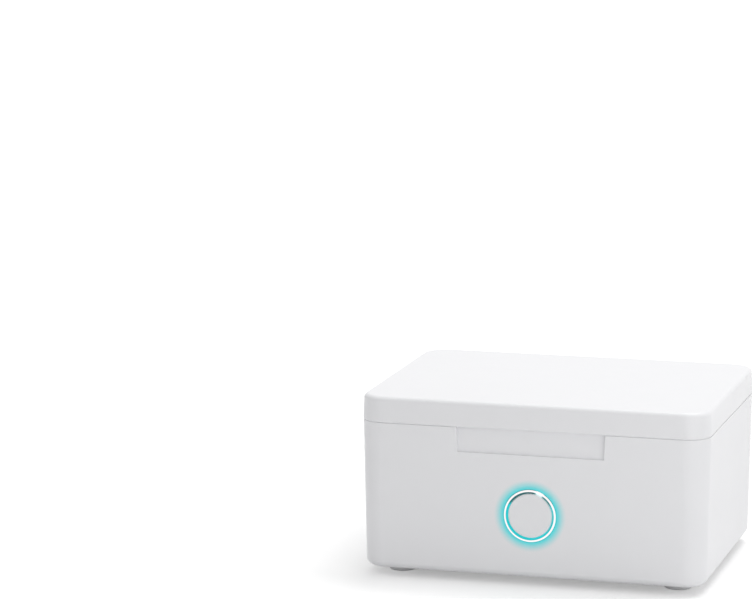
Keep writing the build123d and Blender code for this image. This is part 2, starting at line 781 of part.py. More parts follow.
# One blade, twisted from root to tip; its root is buried in the hub.
blade_height = (z_impeller + z_impeller_top) / 2
blade_root = impeller_hub_radius - impeller_hub_wall / 2
with BuildPart() as blade:
    with BuildSketch(Plane(origin=(blade_root, 0, 0), x_dir=(0, 1, 0), z_dir=(1, 0, 0))):
        SlotOverall(blade_root_chord, blade_thickness, rotation=blade_root_angle)
    with BuildSketch(Plane(origin=(impeller_radius, 0, 0), x_dir=(0, 1, 0), z_dir=(1, 0, 0))):
        SlotOverall(blade_tip_chord, blade_thickness, rotation=blade_tip_angle)
    loft()

hub_roof = z_impeller_top - impeller_hub_wall
with BuildPart() as fan_impeller:
    with BuildSketch(level(z_impeller, fan_y)):
        Circle(impeller_hub_radius)
    extrude(amount=z_impeller_top - z_impeller)
    fillet(fan_impeller.edges().group_by(Axis.Z)[-1], impeller_hub_wall / 2)
    with BuildSketch(level(z_impeller, fan_y)):
        Circle(impeller_hub_radius - impeller_hub_wall)
    extrude(amount=hub_roof - z_impeller, mode=Mode.SUBTRACT)
    with BuildSketch(level(hub_roof, fan_y)):
        Circle(shaft_radius)
    extrude(amount=impeller_hub_wall / 2, mode=Mode.SUBTRACT)
    with Locations(level(blade_height, fan_y)):
        with PolarLocations(0, blade_count):
            add(blade.part)
finish(fan_impeller, "fan_impeller")

with BuildPart() as fan_shaft:
    with BuildSketch(fan_plane.offset(fan_base_thickness + fan_running_gap)):
        Circle(shaft_radius)
    extrude(amount=hub_roof + impeller_hub_wall / 2 - z_fan_disc - fan_running_gap)
finish(fan_shaft, "fan_shaft")

# ---------------------------------------------------------------- button and light ring
ring_flange_back = ring_seat_depth + ring_flange
with BuildPart() as light_ring:
    with BuildSketch(button_section):
        with BuildLine():
            Polyline(
                (ring_bore + ring_bevel, -ring_proud),
                (ring_radius - ring_bevel, -ring_proud),
                (ring_radius, ring_bevel - ring_proud),
                (ring_radius, ring_seat_depth),
                (ring_flange_radius, ring_seat_depth),
                (ring_flange_radius, ring_flange_back),
                (ring_skirt_radius, ring_flange_back),
                (ring_skirt_radius, ring_length),
                (button_flange_radius + button_fit, ring_length),
                (button_flange_radius + button_fit, button_stop_depth),
                (ring_bore, button_stop_depth),
                (ring_bore, ring_bevel - ring_proud),
                close=True,
            )
        make_face()
    revolve(axis=button_axis)
finish(light_ring, "light_ring")

cap_radius = ring_bore - button_fit
cap_back = button_stop_depth + button_flange
plunger_face = front_board_depth - switch_height - plunger_proud
with BuildPart() as button_cap:
    with BuildSketch(button_section):
        with BuildLine():
            Polyline(
                (0, -button_proud),
                (cap_radius, -button_proud),
                (cap_radius, button_stop_depth),
                (button_flange_radius, button_stop_depth),
                (button_flange_radius, cap_back),
                (cap_radius - button_wall, cap_back),
                (cap_radius - button_wall, button_wall),
                (stem_radius, button_wall),
                (stem_radius, plunger_face),
                (0, plunger_face),
                close=True,
            )
        make_face()
    revolve(axis=button_axis)
    fillet(button_cap.edges().group_by(Axis.Y)[0], button_crown_radius)
finish(button_cap, "button_cap")

switch_face = front_board_depth - switch_height
with BuildPart() as push_switch:
    with BuildSketch(button_plane.offset(switch_face)):
        Rectangle(switch_size, switch_size)
    extrude(amount=switch_height)
    chamfer(push_switch.edges().filter_by(Axis.Y), plunger_proud / 2)
    with BuildSketch(button_plane.offset(switch_face)):
        Circle(plunger_radius + button_fit)
    extrude(amount=plunger_length + button_travel, mode=Mode.SUBTRACT)
finish(push_switch, "push_switch")

with BuildPart() as switch_plunger:
    with BuildSketch(button_plane.offset(plunger_face)):
        Circle(plunger_radius)
    extrude(amount=plunger_length)
finish(switch_plunger, "switch_plunger")

with BuildPart() as front_board:
    with BuildSketch(button_plane.offset(front_board_depth)):
        RectangleRounded(front_board_width, front_board_height, small_screw_radius)
        with Locations((-front_post_spacing / 2, 0), (front_post_spacing / 2, 0)):
            Circle(small_screw_radius + thread_gap, mode=Mode.SUBTRACT)
    extrude(amount=board_thickness)
finish(front_board, "front_board")

led_circle = (ring_skirt_radius + button_flange_radius + button_fit) / 2
with BuildPart() as ring_leds:
    with BuildSketch(button_plane.offset(front_board_depth)):
        with PolarLocations(led_circle, led_count, start_angle=180 / led_count):
            Rectangle(led_width, led_length)
    extrude(amount=-led_height)
finish(ring_leds, "ring_leds")

with BuildPart() as front_board_screws:
    with BuildSketch(button_plane.offset(front_board_depth - small_screw_grip)):
        with Locations((-front_post_spacing / 2, 0), (front_post_spacing / 2, 0)):
            Circle(small_screw_radius)
    extrude(amount=small_screw_grip + board_thickness)
    with BuildSketch(button_plane.offset(front_board_back)):
        with Locations((-front_post_spacing / 2, 0), (front_post_spacing / 2, 0)):
            Circle(small_head_radius)
    extrude(amount=small_head_height)
finish(front_board_screws, "front_board_screws")

# ---------------------------------------------------------------- bottom cover
with BuildPart() as bottom_cover:
    with BuildSketch(level(z_base)):
        RectangleRounded(cover_width, cover_depth, cover_corner)
    extrude(amount=cover_thickness)
    with BuildSketch(level(z_cover_top)):
        with GridLocations(post_width, post_depth, 2, 2):
            Circle(cover_boss_radius)
    extrude(amount=cover_boss_height)
    with BuildSketch(level(z_cover_top, board_y)):
        with GridLocations(board_screw_x, 0, 2, 1):
            Circle(standoff_radius)
    extrude(amount=board_lift)
    with BuildSketch(level(z_cover_top, fan_y)):
        Rectangle(fan_rim_outer, fan_rim_outer)
        Rectangle(fan_size + 2 * fan_fit, fan_size + 2 * fan_fit, mode=Mode.SUBTRACT)
    extrude(amount=fan_rim_height)
    with BuildSketch(level(z_cover_top, fan_y)):
        with GridLocations(fan_size - fan_pad_size, fan_size - fan_pad_size, 2, 2):
            Rectangle(fan_pad_size, fan_pad_size)
    extrude(amount=fan_pad)

    # holes for the screws, seats for the feet, and slots under the fan
    with Locations(Plane(origin=(0, y_centre, z_base), z_dir=(0, 0, -1))):
        with GridLocations(post_width, post_depth, 2, 2):
            CounterBoreHole(screw_radius + screw_play, screw_head_radius + screw_play, counterbore_depth)
    with BuildSketch(level(z_board, board_y)):
        with GridLocations(board_screw_x, 0, 2, 1):
            Circle(small_screw_radius + thread_gap)
    extrude(amount=-small_screw_grip, mode=Mode.SUBTRACT)
    with BuildSketch(level(z_base)):
        with GridLocations(foot_width, foot_depth, 2, 2):
            Circle(foot_radius + foot_fit)
    extrude(amount=foot_seat, mode=Mode.SUBTRACT)
    with BuildSketch(level(z_base, fan_y)):
        for slot in range(intake_slots):
            slot_y = (slot - (intake_slots - 1) / 2) * intake_pitch
            with Locations((0, slot_y)):
                SlotOverall(2 * sqrt(fan_bore**2 - slot_y**2), intake_slot_width)
    extrude(amount=cover_thickness, mode=Mode.SUBTRACT)
finish(bottom_cover, "bottom_cover")

for name, place in foot_places.items():
    with BuildPart() as foot:
        with BuildSketch(level(0)):
            with Locations(place):
                Circle(foot_radius)
        extrude(amount=foot_height + foot_seat)
        fillet(foot.edges().group_by(Axis.Z)[0], foot_edge)
    finish(foot, name)

z_screw_seat = z_base + counterbore_depth
with BuildPart() as cover_screws:
    with BuildSketch(level(z_screw_seat)):
        with GridLocations(post_width, post_depth, 2, 2):
            Circle(screw_head_radius)
    extrude(amount=-screw_head_height)
    fillet(cover_screws.edges().group_by(Axis.Z)[0], screw_head_height / 3)
    with BuildSketch(level(z_screw_seat)):
        with GridLocations(post_width, post_depth, 2, 2):
            Circle(screw_radius)
    extrude(amount=screw_length)
finish(cover_screws, "cover_screws")

# ---------------------------------------------------------------- main board
with BuildPart() as main_board:
    with BuildSketch(level(z_board, board_y)):
        RectangleRounded(board_width, board_depth, small_screw_radius)
        with GridLocations(board_screw_x, 0, 2, 1):
            Circle(small_screw_radius + thread_gap, mode=Mode.SUBTRACT)
    extrude(amount=board_thickness)
finish(main_board, "main_board")

with BuildPart() as main_board_screws:
    with BuildSketch(level(z_board - small_screw_grip, board_y)):
        with GridLocations(board_screw_x, 0, 2, 1):
            Circle(small_screw_radius)
    extrude(amount=small_screw_grip + board_thickness)
    with BuildSketch(level(z_board_top, board_y)):
        with GridLocations(board_screw_x, 0, 2, 1):
            Circle(small_head_radius)
    extrude(amount=small_head_height)
finish(main_board_screws, "main_board_screws")

with BuildPart() as power_inlet:
    with BuildSketch(Plane.XZ.offset(-socket_face)):
        with Locations((0, z_socket)):
            SlotOverall(socket_width, socket_height)
    extrude(amount=socket_length)
    with BuildSketch(Plane.XZ.offset(-socket_face)):
        with Locations((0, z_socket)):
            SlotOverall(socket_width - 2 * socket_wall, socket_height - 2 * socket_wall)
    extrude(amount=socket_depth, mode=Mode.SUBTRACT)
    with BuildSketch(Plane.XZ.offset(-(socket_face - socket_depth))):
        with Locations((0, z_socket)):
            Rectangle(socket_tongue_width, socket_tongue)
    extrude(amount=-socket_tongue_length)
finish(power_inlet, "power_inlet")

component_plane = level(z_board_top, board_y)
with BuildPart() as controller_chip:
    with BuildSketch(component_plane):
        with Locations((chip_x, 0)):
            Rectangle(chip_size, chip_size)
    extrude(amount=chip_height)
    chamfer(controller_chip.edges().group_by(Axis.Z)[-1], chip_height / 5)
finish(controller_chip, "controller_chip")

with BuildPart() as capacitors:
    with BuildSketch(component_plane):
        with Locations((capacitor_x, 0), (capacitor_x + capacitor_pitch, 0)):
            Circle(capacitor_radius)
    extrude(amount=capacitor_height)
    fillet(capacitors.edges().group_by(Axis.Z)[-1], capacitor_radius / 5)
finish(capacitors, "capacitors")

with BuildPart() as board_connectors:
    with BuildSketch(component_plane):
        with Locations((heater_connector_x, connector_y), (signal_connector_x, connector_y)):
            Rectangle(connector_width, connector_depth)
    extrude(amount=connector_height)
finish(board_connectors, "board_connectors")

# ---------------------------------------------------------------- cables
# Each cable is one tube that leaves its piece square, runs beside the fan and comes
# down onto a connector.
z_connector = z_board_top + connector_height
z_cable = z_connector + cable_rise
y_connector = board_y + connector_y
y_turn = y_connector - 2 * cable_bend
z_heater_cable = z_heater + heater_height / 2
z_fan_cable = z_fan + fan_height / 2
heater_cable_x = -(duct_outer / 2 + cable_gap)
z_button_cable = z_button - button_cable_drop
y_front_board = y_button + front_board_back
cable_routes = {
    "heater_cable": [
        (-heater_length / 2, fan_y, z_heater_cable),
        (heater_cable_x, fan_y, z_heater_cable),
        (heater_cable_x, y_connector - cable_bend / 2, z_cable - cable_radius),
        (heater_connector_x, y_connector, z_cable),
        (heater_connector_x, y_connector, z_connector),
    ],
    "fan_cable": [
        (fan_size / 2, fan_y + cable_bend, z_fan_cable),
        (fan_cable_x, fan_y + cable_bend, z_fan_cable),
        (fan_cable_x, y_turn, z_cable),
        (fan_cable_x, y_connector, z_cable),
        (fan_cable_x, y_connector, z_connector),
    ],
    "button_cable": [
        (button_cable_x, y_front_board, z_button_cable),
        (button_cable_x, y_front_board + 2 * cable_bend, z_button_cable),
        (signal_cable_x, y_front_board + 4 * cable_bend, z_connector),
        (signal_cable_x, y_turn - 2 * cable_bend, z_connector),
        (signal_cable_x, y_turn, z_cable),
        (signal_cable_x, y_connector, z_cable),
        (signal_cable_x, y_connector, z_connector),
    ],
}
for name, route in cable_routes.items():
    with BuildPart() as cable:
        with BuildLine() as cable_path:
            FilletPolyline(*route, radius=cable_bend)
        with BuildSketch(Plane(origin=cable_path.line @ 0, z_dir=cable_path.line % 0)):
            Circle(cable_radius)
        sweep()
    finish(cable, name)
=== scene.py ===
"""The finish of a desktop hearing aid dryer: satin housing, lit button, drying tub and the works inside."""

import json
from math import cos, pi, radians, sin, tau

import bmesh
import bpy
from bpy.props import FloatProperty, FloatVectorProperty, IntProperty, PointerProperty
from mathutils import Matrix, Vector

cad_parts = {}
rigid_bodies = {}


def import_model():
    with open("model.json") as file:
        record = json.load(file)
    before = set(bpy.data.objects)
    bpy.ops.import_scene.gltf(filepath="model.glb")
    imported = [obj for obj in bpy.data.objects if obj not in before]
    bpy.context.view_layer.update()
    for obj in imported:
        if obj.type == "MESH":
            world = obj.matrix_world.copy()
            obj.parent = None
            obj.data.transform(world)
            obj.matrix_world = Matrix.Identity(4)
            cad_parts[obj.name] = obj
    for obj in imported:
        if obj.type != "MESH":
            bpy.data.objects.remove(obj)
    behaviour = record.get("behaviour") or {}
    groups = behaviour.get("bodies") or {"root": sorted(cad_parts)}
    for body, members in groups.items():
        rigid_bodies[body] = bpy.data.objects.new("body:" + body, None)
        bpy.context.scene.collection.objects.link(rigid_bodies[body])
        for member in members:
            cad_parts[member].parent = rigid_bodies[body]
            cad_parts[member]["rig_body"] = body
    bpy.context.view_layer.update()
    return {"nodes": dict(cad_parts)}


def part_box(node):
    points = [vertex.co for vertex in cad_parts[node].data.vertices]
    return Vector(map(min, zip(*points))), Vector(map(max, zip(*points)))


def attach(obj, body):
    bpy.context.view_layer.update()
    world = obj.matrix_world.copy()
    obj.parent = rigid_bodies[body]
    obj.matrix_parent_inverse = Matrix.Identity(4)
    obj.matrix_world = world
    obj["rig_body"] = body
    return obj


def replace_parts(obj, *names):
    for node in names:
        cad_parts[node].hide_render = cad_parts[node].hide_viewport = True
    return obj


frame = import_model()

bl_info = {
    "name": "Hearing Aid Dryer",
    "version": (1, 0, 0),
    "blender": (4, 5, 0),
    "location": "View3D > Sidebar > Dryer",
    "description": "Dresses a drying box with a lit button and sets its studio",
    "category": "Object",
}

# ---------------------------------------------------------------- places taken from the frame
MM = 0.001
liner_drop = 1.5 * MM  # the liner reaches this far under the lid's lower edge
cap_low, cap_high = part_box("button_cap")
seam_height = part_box("lid_liner")[0].z + liner_drop
button_height = (cap_low.z + cap_high.z) / 2
button_front = cap_low.y

# ---------------------------------------------------------------- the housing's plastic
patch_size = 12 * MM  # its colour and roughness wander over patches this wide
patch_tint = 0.006
patch_roughness = 0.035

# ---------------------------------------------------------------- the lit ring, as radii and arcs
halo_depth = 6 * MM  # the halo reaches this far into the front wall
# painted shadow: the radii below set a dark rim painted round the ring by dimming the glow
rim_shadow = (7.75 * MM, 7.6 * MM)  # where the dark rim ends, and where it is full
band_inner = (6.86 * MM, 6.98 * MM)  # where the white band starts, and where it is full
band_outer = (7.47 * MM, 7.39 * MM)  # where it ends, and where it is still full
# painted shade in two dark arcs of the ring's groove, and a painted highlight between them
wide_shade = (113, 44, 30)  # middle, faded edge and full edge of each arc, in degrees
short_shade = (44, 19, 10)
glint_arc = (67, 11, 5)


# ---------------------------------------------------------------- settings
def colour_setting(name, description, default):
    return FloatVectorProperty(
        name=name, description=description, default=default, size=3, min=0.0, max=1.0, subtype="COLOR"
    )


def length_setting(name, description, default):
    return FloatProperty(
        name=name, description=description, default=default, min=0.0, unit="LENGTH", precision=5
    )


def share_setting(name, description, default):
    return FloatProperty(
        name=name, description=description, default=default, min=0.0, max=1.0, subtype="FACTOR"
    )


def angle_setting(name, description, degrees):
    return FloatProperty(name=name, description=description, default=radians(degrees), subtype="ANGLE")


def strength_setting(name, description, default):
    return FloatProperty(name=name, description=description, default=default, min=0.0)


class HousingLook(bpy.types.PropertyGroup):
    shell_colour: colour_setting("Shell", "Colour of the lid and the base", (0.86, 0.861, 0.878))
    tub_colour: colour_setting("Tub", "Colour of the drying tub and the lid's liner", (0.845, 0.848, 0.862))
    cover_colour: colour_setting("Cover", "Colour of the bottom cover", (0.8, 0.802, 0.81))
    roughness: share_setting("Roughness", "Mean roughness of the satin plastic", 0.36)
    grain_size: length_setting("Grain Size", "Width of the moulded surface grain", 0.00035)
    grain_depth: length_setting("Grain Depth", "Height of the moulded surface grain", 0.000003)
    crease_angle: angle_setting("Crease Angle", "Edges sharper than this stay sharp", 32)


class GlowLook(bpy.types.PropertyGroup):
    glow_colour: colour_setting("Glow", "Colour of the light round the button", (0.0, 0.62, 0.66))
    core_colour: colour_setting("Core", "Colour of the ring where it is brightest", (1.0, 0.93, 0.93))
    halo_start: length_setting("Halo Start", "Radius at which the halo is strongest", 0.0072)
    halo_end: length_setting("Halo End", "Radius at which the halo has faded", 0.0106)
    halo_share: share_setting("Halo Share", "How much of the halo shines by itself", 0.45)
    ring_strength: strength_setting("Ring Strength", "Brightness of the light ring", 1.0)


class HardwareLook(bpy.types.PropertyGroup):
    rubber_colour: colour_setting("Feet", "Colour of the rubber feet", (0.8, 0.8, 0.81))
    board_colour: colour_setting("Board", "Colour of the solder mask", (0.015, 0.12, 0.05))
    steel_colour: colour_setting("Steel", "Colour of screws and pins", (0.62, 0.62, 0.63))
    gold_colour: colour_setting("Contacts", "Colour of the inlet's gilt contacts", (0.9, 0.66, 0.28))
    cover_head: length_setting("Cover Screw Head", "Head radius of the cover's screws", 0.0023)
    cover_shank: length_setting("Cover Screw Thread", "Thread radius of the cover's screws", 0.0013)
    cover_head_height: length_setting("Cover Head Height", "Head height of the cover's screws", 0.0015)
    board_head: length_setting("Board Screw Head", "Head radius of the boards' screws", 0.0019)
    board_shank: length_setting("Board Screw Thread", "Thread radius of the boards' screws", 0.00095)
    board_head_height: length_setting("Board Head Height", "Head height of the boards' screws", 0.0012)
    thread_share: FloatProperty(
        name="Thread Pitch", description="Pitch of a thread as a share of its radius", default=0.85,
        min=0.3, max=2.0,
    )
    fin_legs: IntProperty(
        name="Fin Legs", description="Legs of each folded heater fin", default=24, min=4, max=60
    )
    fin_sheet: length_setting("Fin Sheet", "Thickness of the folded heater fins", 0.00022)
    lamp_count: IntProperty(name="Lamps", description="Lamps behind the light ring", default=8, min=1, max=24)
    wire_radius: length_setting("Wire", "Radius of the winding's wire", 0.00014)


class StageLook(bpy.types.PropertyGroup):
    azimuth: angle_setting("Azimuth", "Camera turned round the box from its front", 16.311)
    elevation: angle_setting("Elevation", "Camera above the horizon", 10.005)
    roll: angle_setting("Roll", "Camera roll", 0.166)
    distance: length_setting("Distance", "Camera to the middle of the box", 1.012552)
    shift_right: FloatProperty(
        name="Shift Right", description="The box stands this far right of the view's middle", default=0.0532,
        unit="LENGTH", precision=5,
    )
    shift_up: FloatProperty(
        name="Shift Up", description="The box stands this far above the view's middle", default=-0.047266,
        unit="LENGTH", precision=5,
    )
    lens: FloatProperty(name="Lens", description="Focal length in millimetres", default=167.725, min=10.0)
    floor_colour: colour_setting("Floor", "Colour of the floor", (0.8, 0.8, 0.8))
    sky: strength_setting("Sky", "Strength of the even light", 0.58)
    key_energy: strength_setting("Key", "Power of the large lamp overhead", 4.4)
    fill_energy: strength_setting("Fill", "Power of the lamp at the right", 0.15)


# ---------------------------------------------------------------- node helpers
def add_node(tree, kind, values=None, **settings):
    """Adds a node, sets its properties, then its unlinked inputs by name or place."""
    node = tree.nodes.new(kind)
    for key, value in settings.items():
        setattr(node, key, value)
    for key, value in (values or {}).items():
        node.inputs[key].default_value = value
    return node


def maths(tree, operation, first, second=None, clamp=False):
    node = add_node(tree, "ShaderNodeMath", operation=operation, use_clamp=clamp)
    for socket, value in zip(node.inputs, (first, second)):
        if value is None:
            continue
        if isinstance(value, (int, float)):
            socket.default_value = value
        else:
            tree.links.new(value, socket)
    return node.outputs[0]


def mix_colours(tree, factor, first, second):
    node = add_node(tree, "ShaderNodeMix", data_type="RGBA")
    for socket, value in ((node.inputs[0], factor), (node.inputs[6], first), (node.inputs[7], second)):
        if isinstance(value, bpy.types.NodeSocket):
            tree.links.new(value, socket)
        elif isinstance(value, (int, float)):
            socket.default_value = value
        else:
            socket.default_value = (*value, 1.0)
    return node.outputs[2]


def remap(tree, value, start, end, low=0.0, high=1.0, kind="LINEAR"):
    node = add_node(
        tree,
        "ShaderNodeMapRange",
        {"From Min": start, "From Max": end, "To Min": low, "To Max": high},
        interpolation_type=kind,
        clamp=True,
    )
    tree.links.new(value, node.inputs["Value"])
    return node.outputs[0]


def noise(tree, place, size, detail=3.0, stretch=(1.0, 1.0, 1.0)):
    """Noise whose lumps are about size metres wide, drawn out along an axis by its stretch."""
    mapping = add_node(tree, "ShaderNodeMapping", {"Scale": [1.0 / (size * s) for s in stretch]})
    tree.links.new(place, mapping.inputs["Vector"])
    node = add_node(tree, "ShaderNodeTexNoise", {"Scale": 1.0, "Detail": detail, "Roughness": 0.55})
    tree.links.new(mapping.outputs[0], node.inputs["Vector"])
    return node.outputs["Fac"]


def start_material(name):
    material = bpy.data.materials.new(name)
    material.use_nodes = True
    tree = material.node_tree
    shader = next(n for n in tree.nodes if n.type == "BSDF_PRINCIPLED")
    place = add_node(tree, "ShaderNodeTexCoord").outputs["Object"]
    return material, tree, shader, place


def tinted(colour, share):
    return tuple(min(1.0, c * share) for c in colour)


def vary(tree, shader, place, colour, size, amount, roughness, roughness_spread):
    """Gives the shader a colour and a roughness that wander a little over the surface."""
    patches = noise(tree, place, size)
    varied = mix_colours(tree, patches, tinted(colour, 1.0 - amount), tinted(colour, 1.0 + amount))
    rough = remap(
        tree, noise(tree, place, size / 3), 0.3, 0.7,
        roughness - roughness_spread, roughness + roughness_spread,
    )
    tree.links.new(varied, shader.inputs["Base Color"])
    tree.links.new(rough, shader.inputs["Roughness"])
    return varied


def raise_grain(tree, shader, height, depth):
    bump = add_node(tree, "ShaderNodeBump", {"Strength": 1.0, "Distance": depth})
    tree.links.new(height, bump.inputs["Height"])
    tree.links.new(bump.outputs[0], shader.inputs["Normal"])


# ---------------------------------------------------------------- materials
def satin_plastic(name, colour, look, grain=1.0):
    material, tree, shader, place = start_material(name)
    vary(tree, shader, place, colour, patch_size, patch_tint, look.roughness, patch_roughness)
    raise_grain(tree, shader, noise(tree, place, look.grain_size * grain, 4.0), look.grain_depth * grain)
    return material


def button_distance(tree, place):
    """Distance from the button's axis, and the height and width parts of that distance."""
    offset = add_node(tree, "ShaderNodeVectorMath", {1: (0.0, 0.0, button_height)}, operation="SUBTRACT")
    tree.links.new(place, offset.inputs[0])
    parts = add_node(tree, "ShaderNodeSeparateXYZ")
    tree.links.new(offset.outputs[0], parts.inputs[0])
    across, along, up = parts.outputs
    squares = maths(tree, "ADD", maths(tree, "MULTIPLY", across, across), maths(tree, "MULTIPLY", up, up))
    return maths(tree, "SQRT", squares), across, along, up


def lit_housing(look, glow):
    """The base's satin plastic, with the ring's light painted round the button as emission and as a teal base
    colour.
    """
    material, tree, shader, place = start_material("satin_white_lit")
    plain = vary(
        tree, shader, place, look.shell_colour, patch_size, patch_tint, look.roughness, patch_roughness
    )
    raise_grain(tree, shader, noise(tree, place, look.grain_size, 4.0), look.grain_depth)
    distance, _, along, _ = button_distance(tree, place)
    # mask of the painted glow, strongest next to the ring
    spread = remap(tree, distance, glow.halo_end, glow.halo_start, 0.0, 0.95, "SMOOTHSTEP")
    on_front = maths(tree, "LESS_THAN", along, button_front + halo_depth)
    halo = maths(tree, "MULTIPLY", spread, on_front)
    # painted shadow: a dark rim round the ring, made by lowering the emission
    painted_rim_shadow = maths(tree, "MULTIPLY", remap(tree, distance, *rim_shadow, 0.0, 0.6), on_front)
    # painted glow: the ring's teal light is painted into the base colour here, and its shine is painted as
    # emission below
    painted_halo_tint = tinted(glow.glow_colour, (1.0 - glow.halo_share) * 1.28)
    tree.links.new(mix_colours(tree, halo, plain, painted_halo_tint), shader.inputs["Base Color"])
    shine = mix_colours(tree, halo, (0.0, 0.0, 0.0), tinted(glow.glow_colour, glow.halo_share))
    tree.links.new(shine, shader.inputs["Emission Color"])
    tree.links.new(maths(tree, "SUBTRACT", 1.0, painted_rim_shadow), shader.inputs["Emission Strength"])
    return material


def arc(tree, turn, middle, edge, full):
    """One within an angle of the middle, fading to nought at the edge. The angles are in degrees."""
    swing = maths(tree, "COSINE", maths(tree, "SUBTRACT", turn, radians(middle)))
    return remap(tree, swing, cos(radians(edge)), cos(radians(full)), kind="SMOOTHSTEP")


def light_guide(glow):
    """Milky light guide: white where it is brightest, and the glow's colour along its edges, with painted
    shade in two arcs of the groove and a painted highlight between them.
    """
    material, tree, shader, place = start_material("light_guide")
    distance, across, _, up = button_distance(tree, place)
    inner = remap(tree, distance, *band_inner, kind="SMOOTHSTEP")
    outer = remap(tree, distance, *band_outer, kind="SMOOTHSTEP")
    band = maths(tree, "MULTIPLY", inner, outer)
    turn = maths(tree, "ARCTAN2", up, across)
    # painted shade: two dark arcs in the groove's glow; painted highlight: a glint between them
    wide = maths(tree, "MULTIPLY", arc(tree, turn, *wide_shade), 0.93)
    short = maths(tree, "MULTIPLY", arc(tree, turn, *short_shade), 0.75)
    shade = maths(tree, "MAXIMUM", wide, short)
    groove = mix_colours(tree, shade, tinted(glow.glow_colour, 0.8), tinted(glow.glow_colour, 0.1))
    glinting = mix_colours(tree, arc(tree, turn, *glint_arc), groove, (0.8, 0.95, 0.95))
    lit = mix_colours(tree, band, glinting, glow.core_colour)
    tree.links.new(lit, shader.inputs["Emission Color"])
    unlit = mix_colours(tree, band, tinted(glow.glow_colour, 0.05), (0.05, 0.05, 0.05))
    tree.links.new(unlit, shader.inputs["Base Color"])
    tree.links.new(remap(tree, noise(tree, place, 0.8 * MM), 0.3, 0.7, 0.16, 0.24), shader.inputs["Roughness"])
    shader.inputs["Emission Strength"].default_value = glow.ring_strength
    return material


def grained_plastic(name, colour, roughness, grain_size, grain_depth):
    material, tree, shader, place = start_material(name)
    vary(tree, shader, place, colour, 6 * MM, 0.03, roughness, 0.05)
    raise_grain(tree, shader, noise(tree, place, grain_size), grain_depth)
    return material


def brushed_metal(name, colour, roughness, stretch=(1.0, 1.0, 14.0)):
    material, tree, shader, place = start_material(name)
    vary(tree, shader, place, colour, 3 * MM, 0.04, roughness, 0.05)
    raise_grain(tree, shader, noise(tree, place, 0.08 * MM, 2.0, stretch), 0.0000015)
    shader.inputs["Metallic"].default_value = 1.0
    return material


def circuit_board(name, colour):
    """Solder mask over copper tracks, with tinned pads."""
    material, tree, shader, place = start_material(name)
    tracks = add_node(
        tree,
        "ShaderNodeTexBrick",
        {"Scale": 260.0, "Mortar Size": 0.045, "Mortar Smooth": 0.3, "Brick Width": 1.7, "Row Height": 0.33},
    )
    tree.links.new(place, tracks.inputs["Vector"])
    pads = add_node(tree, "ShaderNodeTexVoronoi", {"Scale": 420.0, "Randomness": 0.6})
    tree.links.new(place, pads.inputs["Vector"])
    pad = remap(tree, pads.outputs["Distance"], 0.17, 0.13)
    mask = mix_colours(tree, tracks.outputs["Fac"], colour, tinted(colour, 1.9))
    tree.links.new(mix_colours(tree, pad, mask, (0.6, 0.6, 0.58)), shader.inputs["Base Color"])
    tree.links.new(remap(tree, pad, 0.0, 1.0, 0.34, 0.28), shader.inputs["Roughness"])
    raise_grain(tree, shader, tracks.outputs["Fac"], 0.00002)
    return material


def wound_wire(name, colour):
    material, tree, shader, place = start_material(name)
    turns = add_node(
        tree,
        "ShaderNodeTexWave",
        {"Scale": 900.0, "Distortion": 0.6, "Detail": 1.0},
        wave_type="BANDS",
        bands_direction="Z",
    )
    tree.links.new(place, turns.inputs["Vector"])
    # painted shade: the copper is darkest in the grooves between the turns of wire, where the bump sinks
    varied = mix_colours(tree, turns.outputs["Fac"], tinted(colour, 0.35), tinted(colour, 1.1))
    tree.links.new(varied, shader.inputs["Base Color"])
    raise_grain(tree, shader, turns.outputs["Fac"], 0.00008)
    shader.inputs["Metallic"].default_value = 1.0
    shader.inputs["Roughness"].default_value = 0.32
    return material


# ---------------------------------------------------------------- mesh helpers
def link(item):
    bpy.context.scene.collection.objects.link(item)


def add_piece(name, mesh, body, slot, *materials):
    """Links a mesh as a piece of the object, riding on its body."""
    piece = bpy.data.objects.new(name, mesh)
    link(piece)
    mesh.materials.clear()
    for material in materials:
        mesh.materials.append(material)
    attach(piece, body)
    return piece


def merged_copy(node):
    """The node's own shape as one closed skin."""
    source = frame["nodes"][node].data
    mesh = bpy.data.meshes.new(node + "_skin")
    mesh.from_pydata(
        [v.co.copy() for v in source.vertices], [], [tuple(p.vertices) for p in source.polygons]
    )
    skin = bmesh.new()
    skin.from_mesh(mesh)
    bmesh.ops.remove_doubles(skin, verts=skin.verts, dist=0.002 * MM)
    bmesh.ops.dissolve_degenerate(skin, edges=skin.edges, dist=0.0005 * MM)
    skin.to_mesh(mesh)
    skin.free()
    return mesh


def settle_normals(mesh, crease_angle):
    """Smooths the skin between its creases, flat faces first, and returns it as a plain mesh."""
    mesh.shade_smooth()
    mesh.set_sharp_from_angle(angle=crease_angle)
    holder = bpy.data.objects.new("holder", mesh)
    link(holder)
    weighted = holder.modifiers.new("weighted", "WEIGHTED_NORMAL")
    weighted.mode = "FACE_AREA"
    weighted.keep_sharp = True
    settled = plain_mesh(holder)
    bpy.data.objects.remove(holder)
    return settled


def plain_mesh(holder):
    """The evaluated object as a mesh with no modifiers left on it."""
    graph = bpy.context.evaluated_depsgraph_get()
    graph.update()
    return bpy.data.meshes.new_from_object(holder.evaluated_get(graph), depsgraph=graph)


def dress(context, node, slot, *materials):
    """Replaces a CAD node by its own shape with smooth normals and a finish."""
    look = context.scene.dryer_housing
    mesh = settle_normals(merged_copy(node), look.crease_angle)
    body = frame["nodes"][node]["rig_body"]
    piece = add_piece(node + "_finish", mesh, body, slot, *materials)
    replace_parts(piece, node)
    return piece


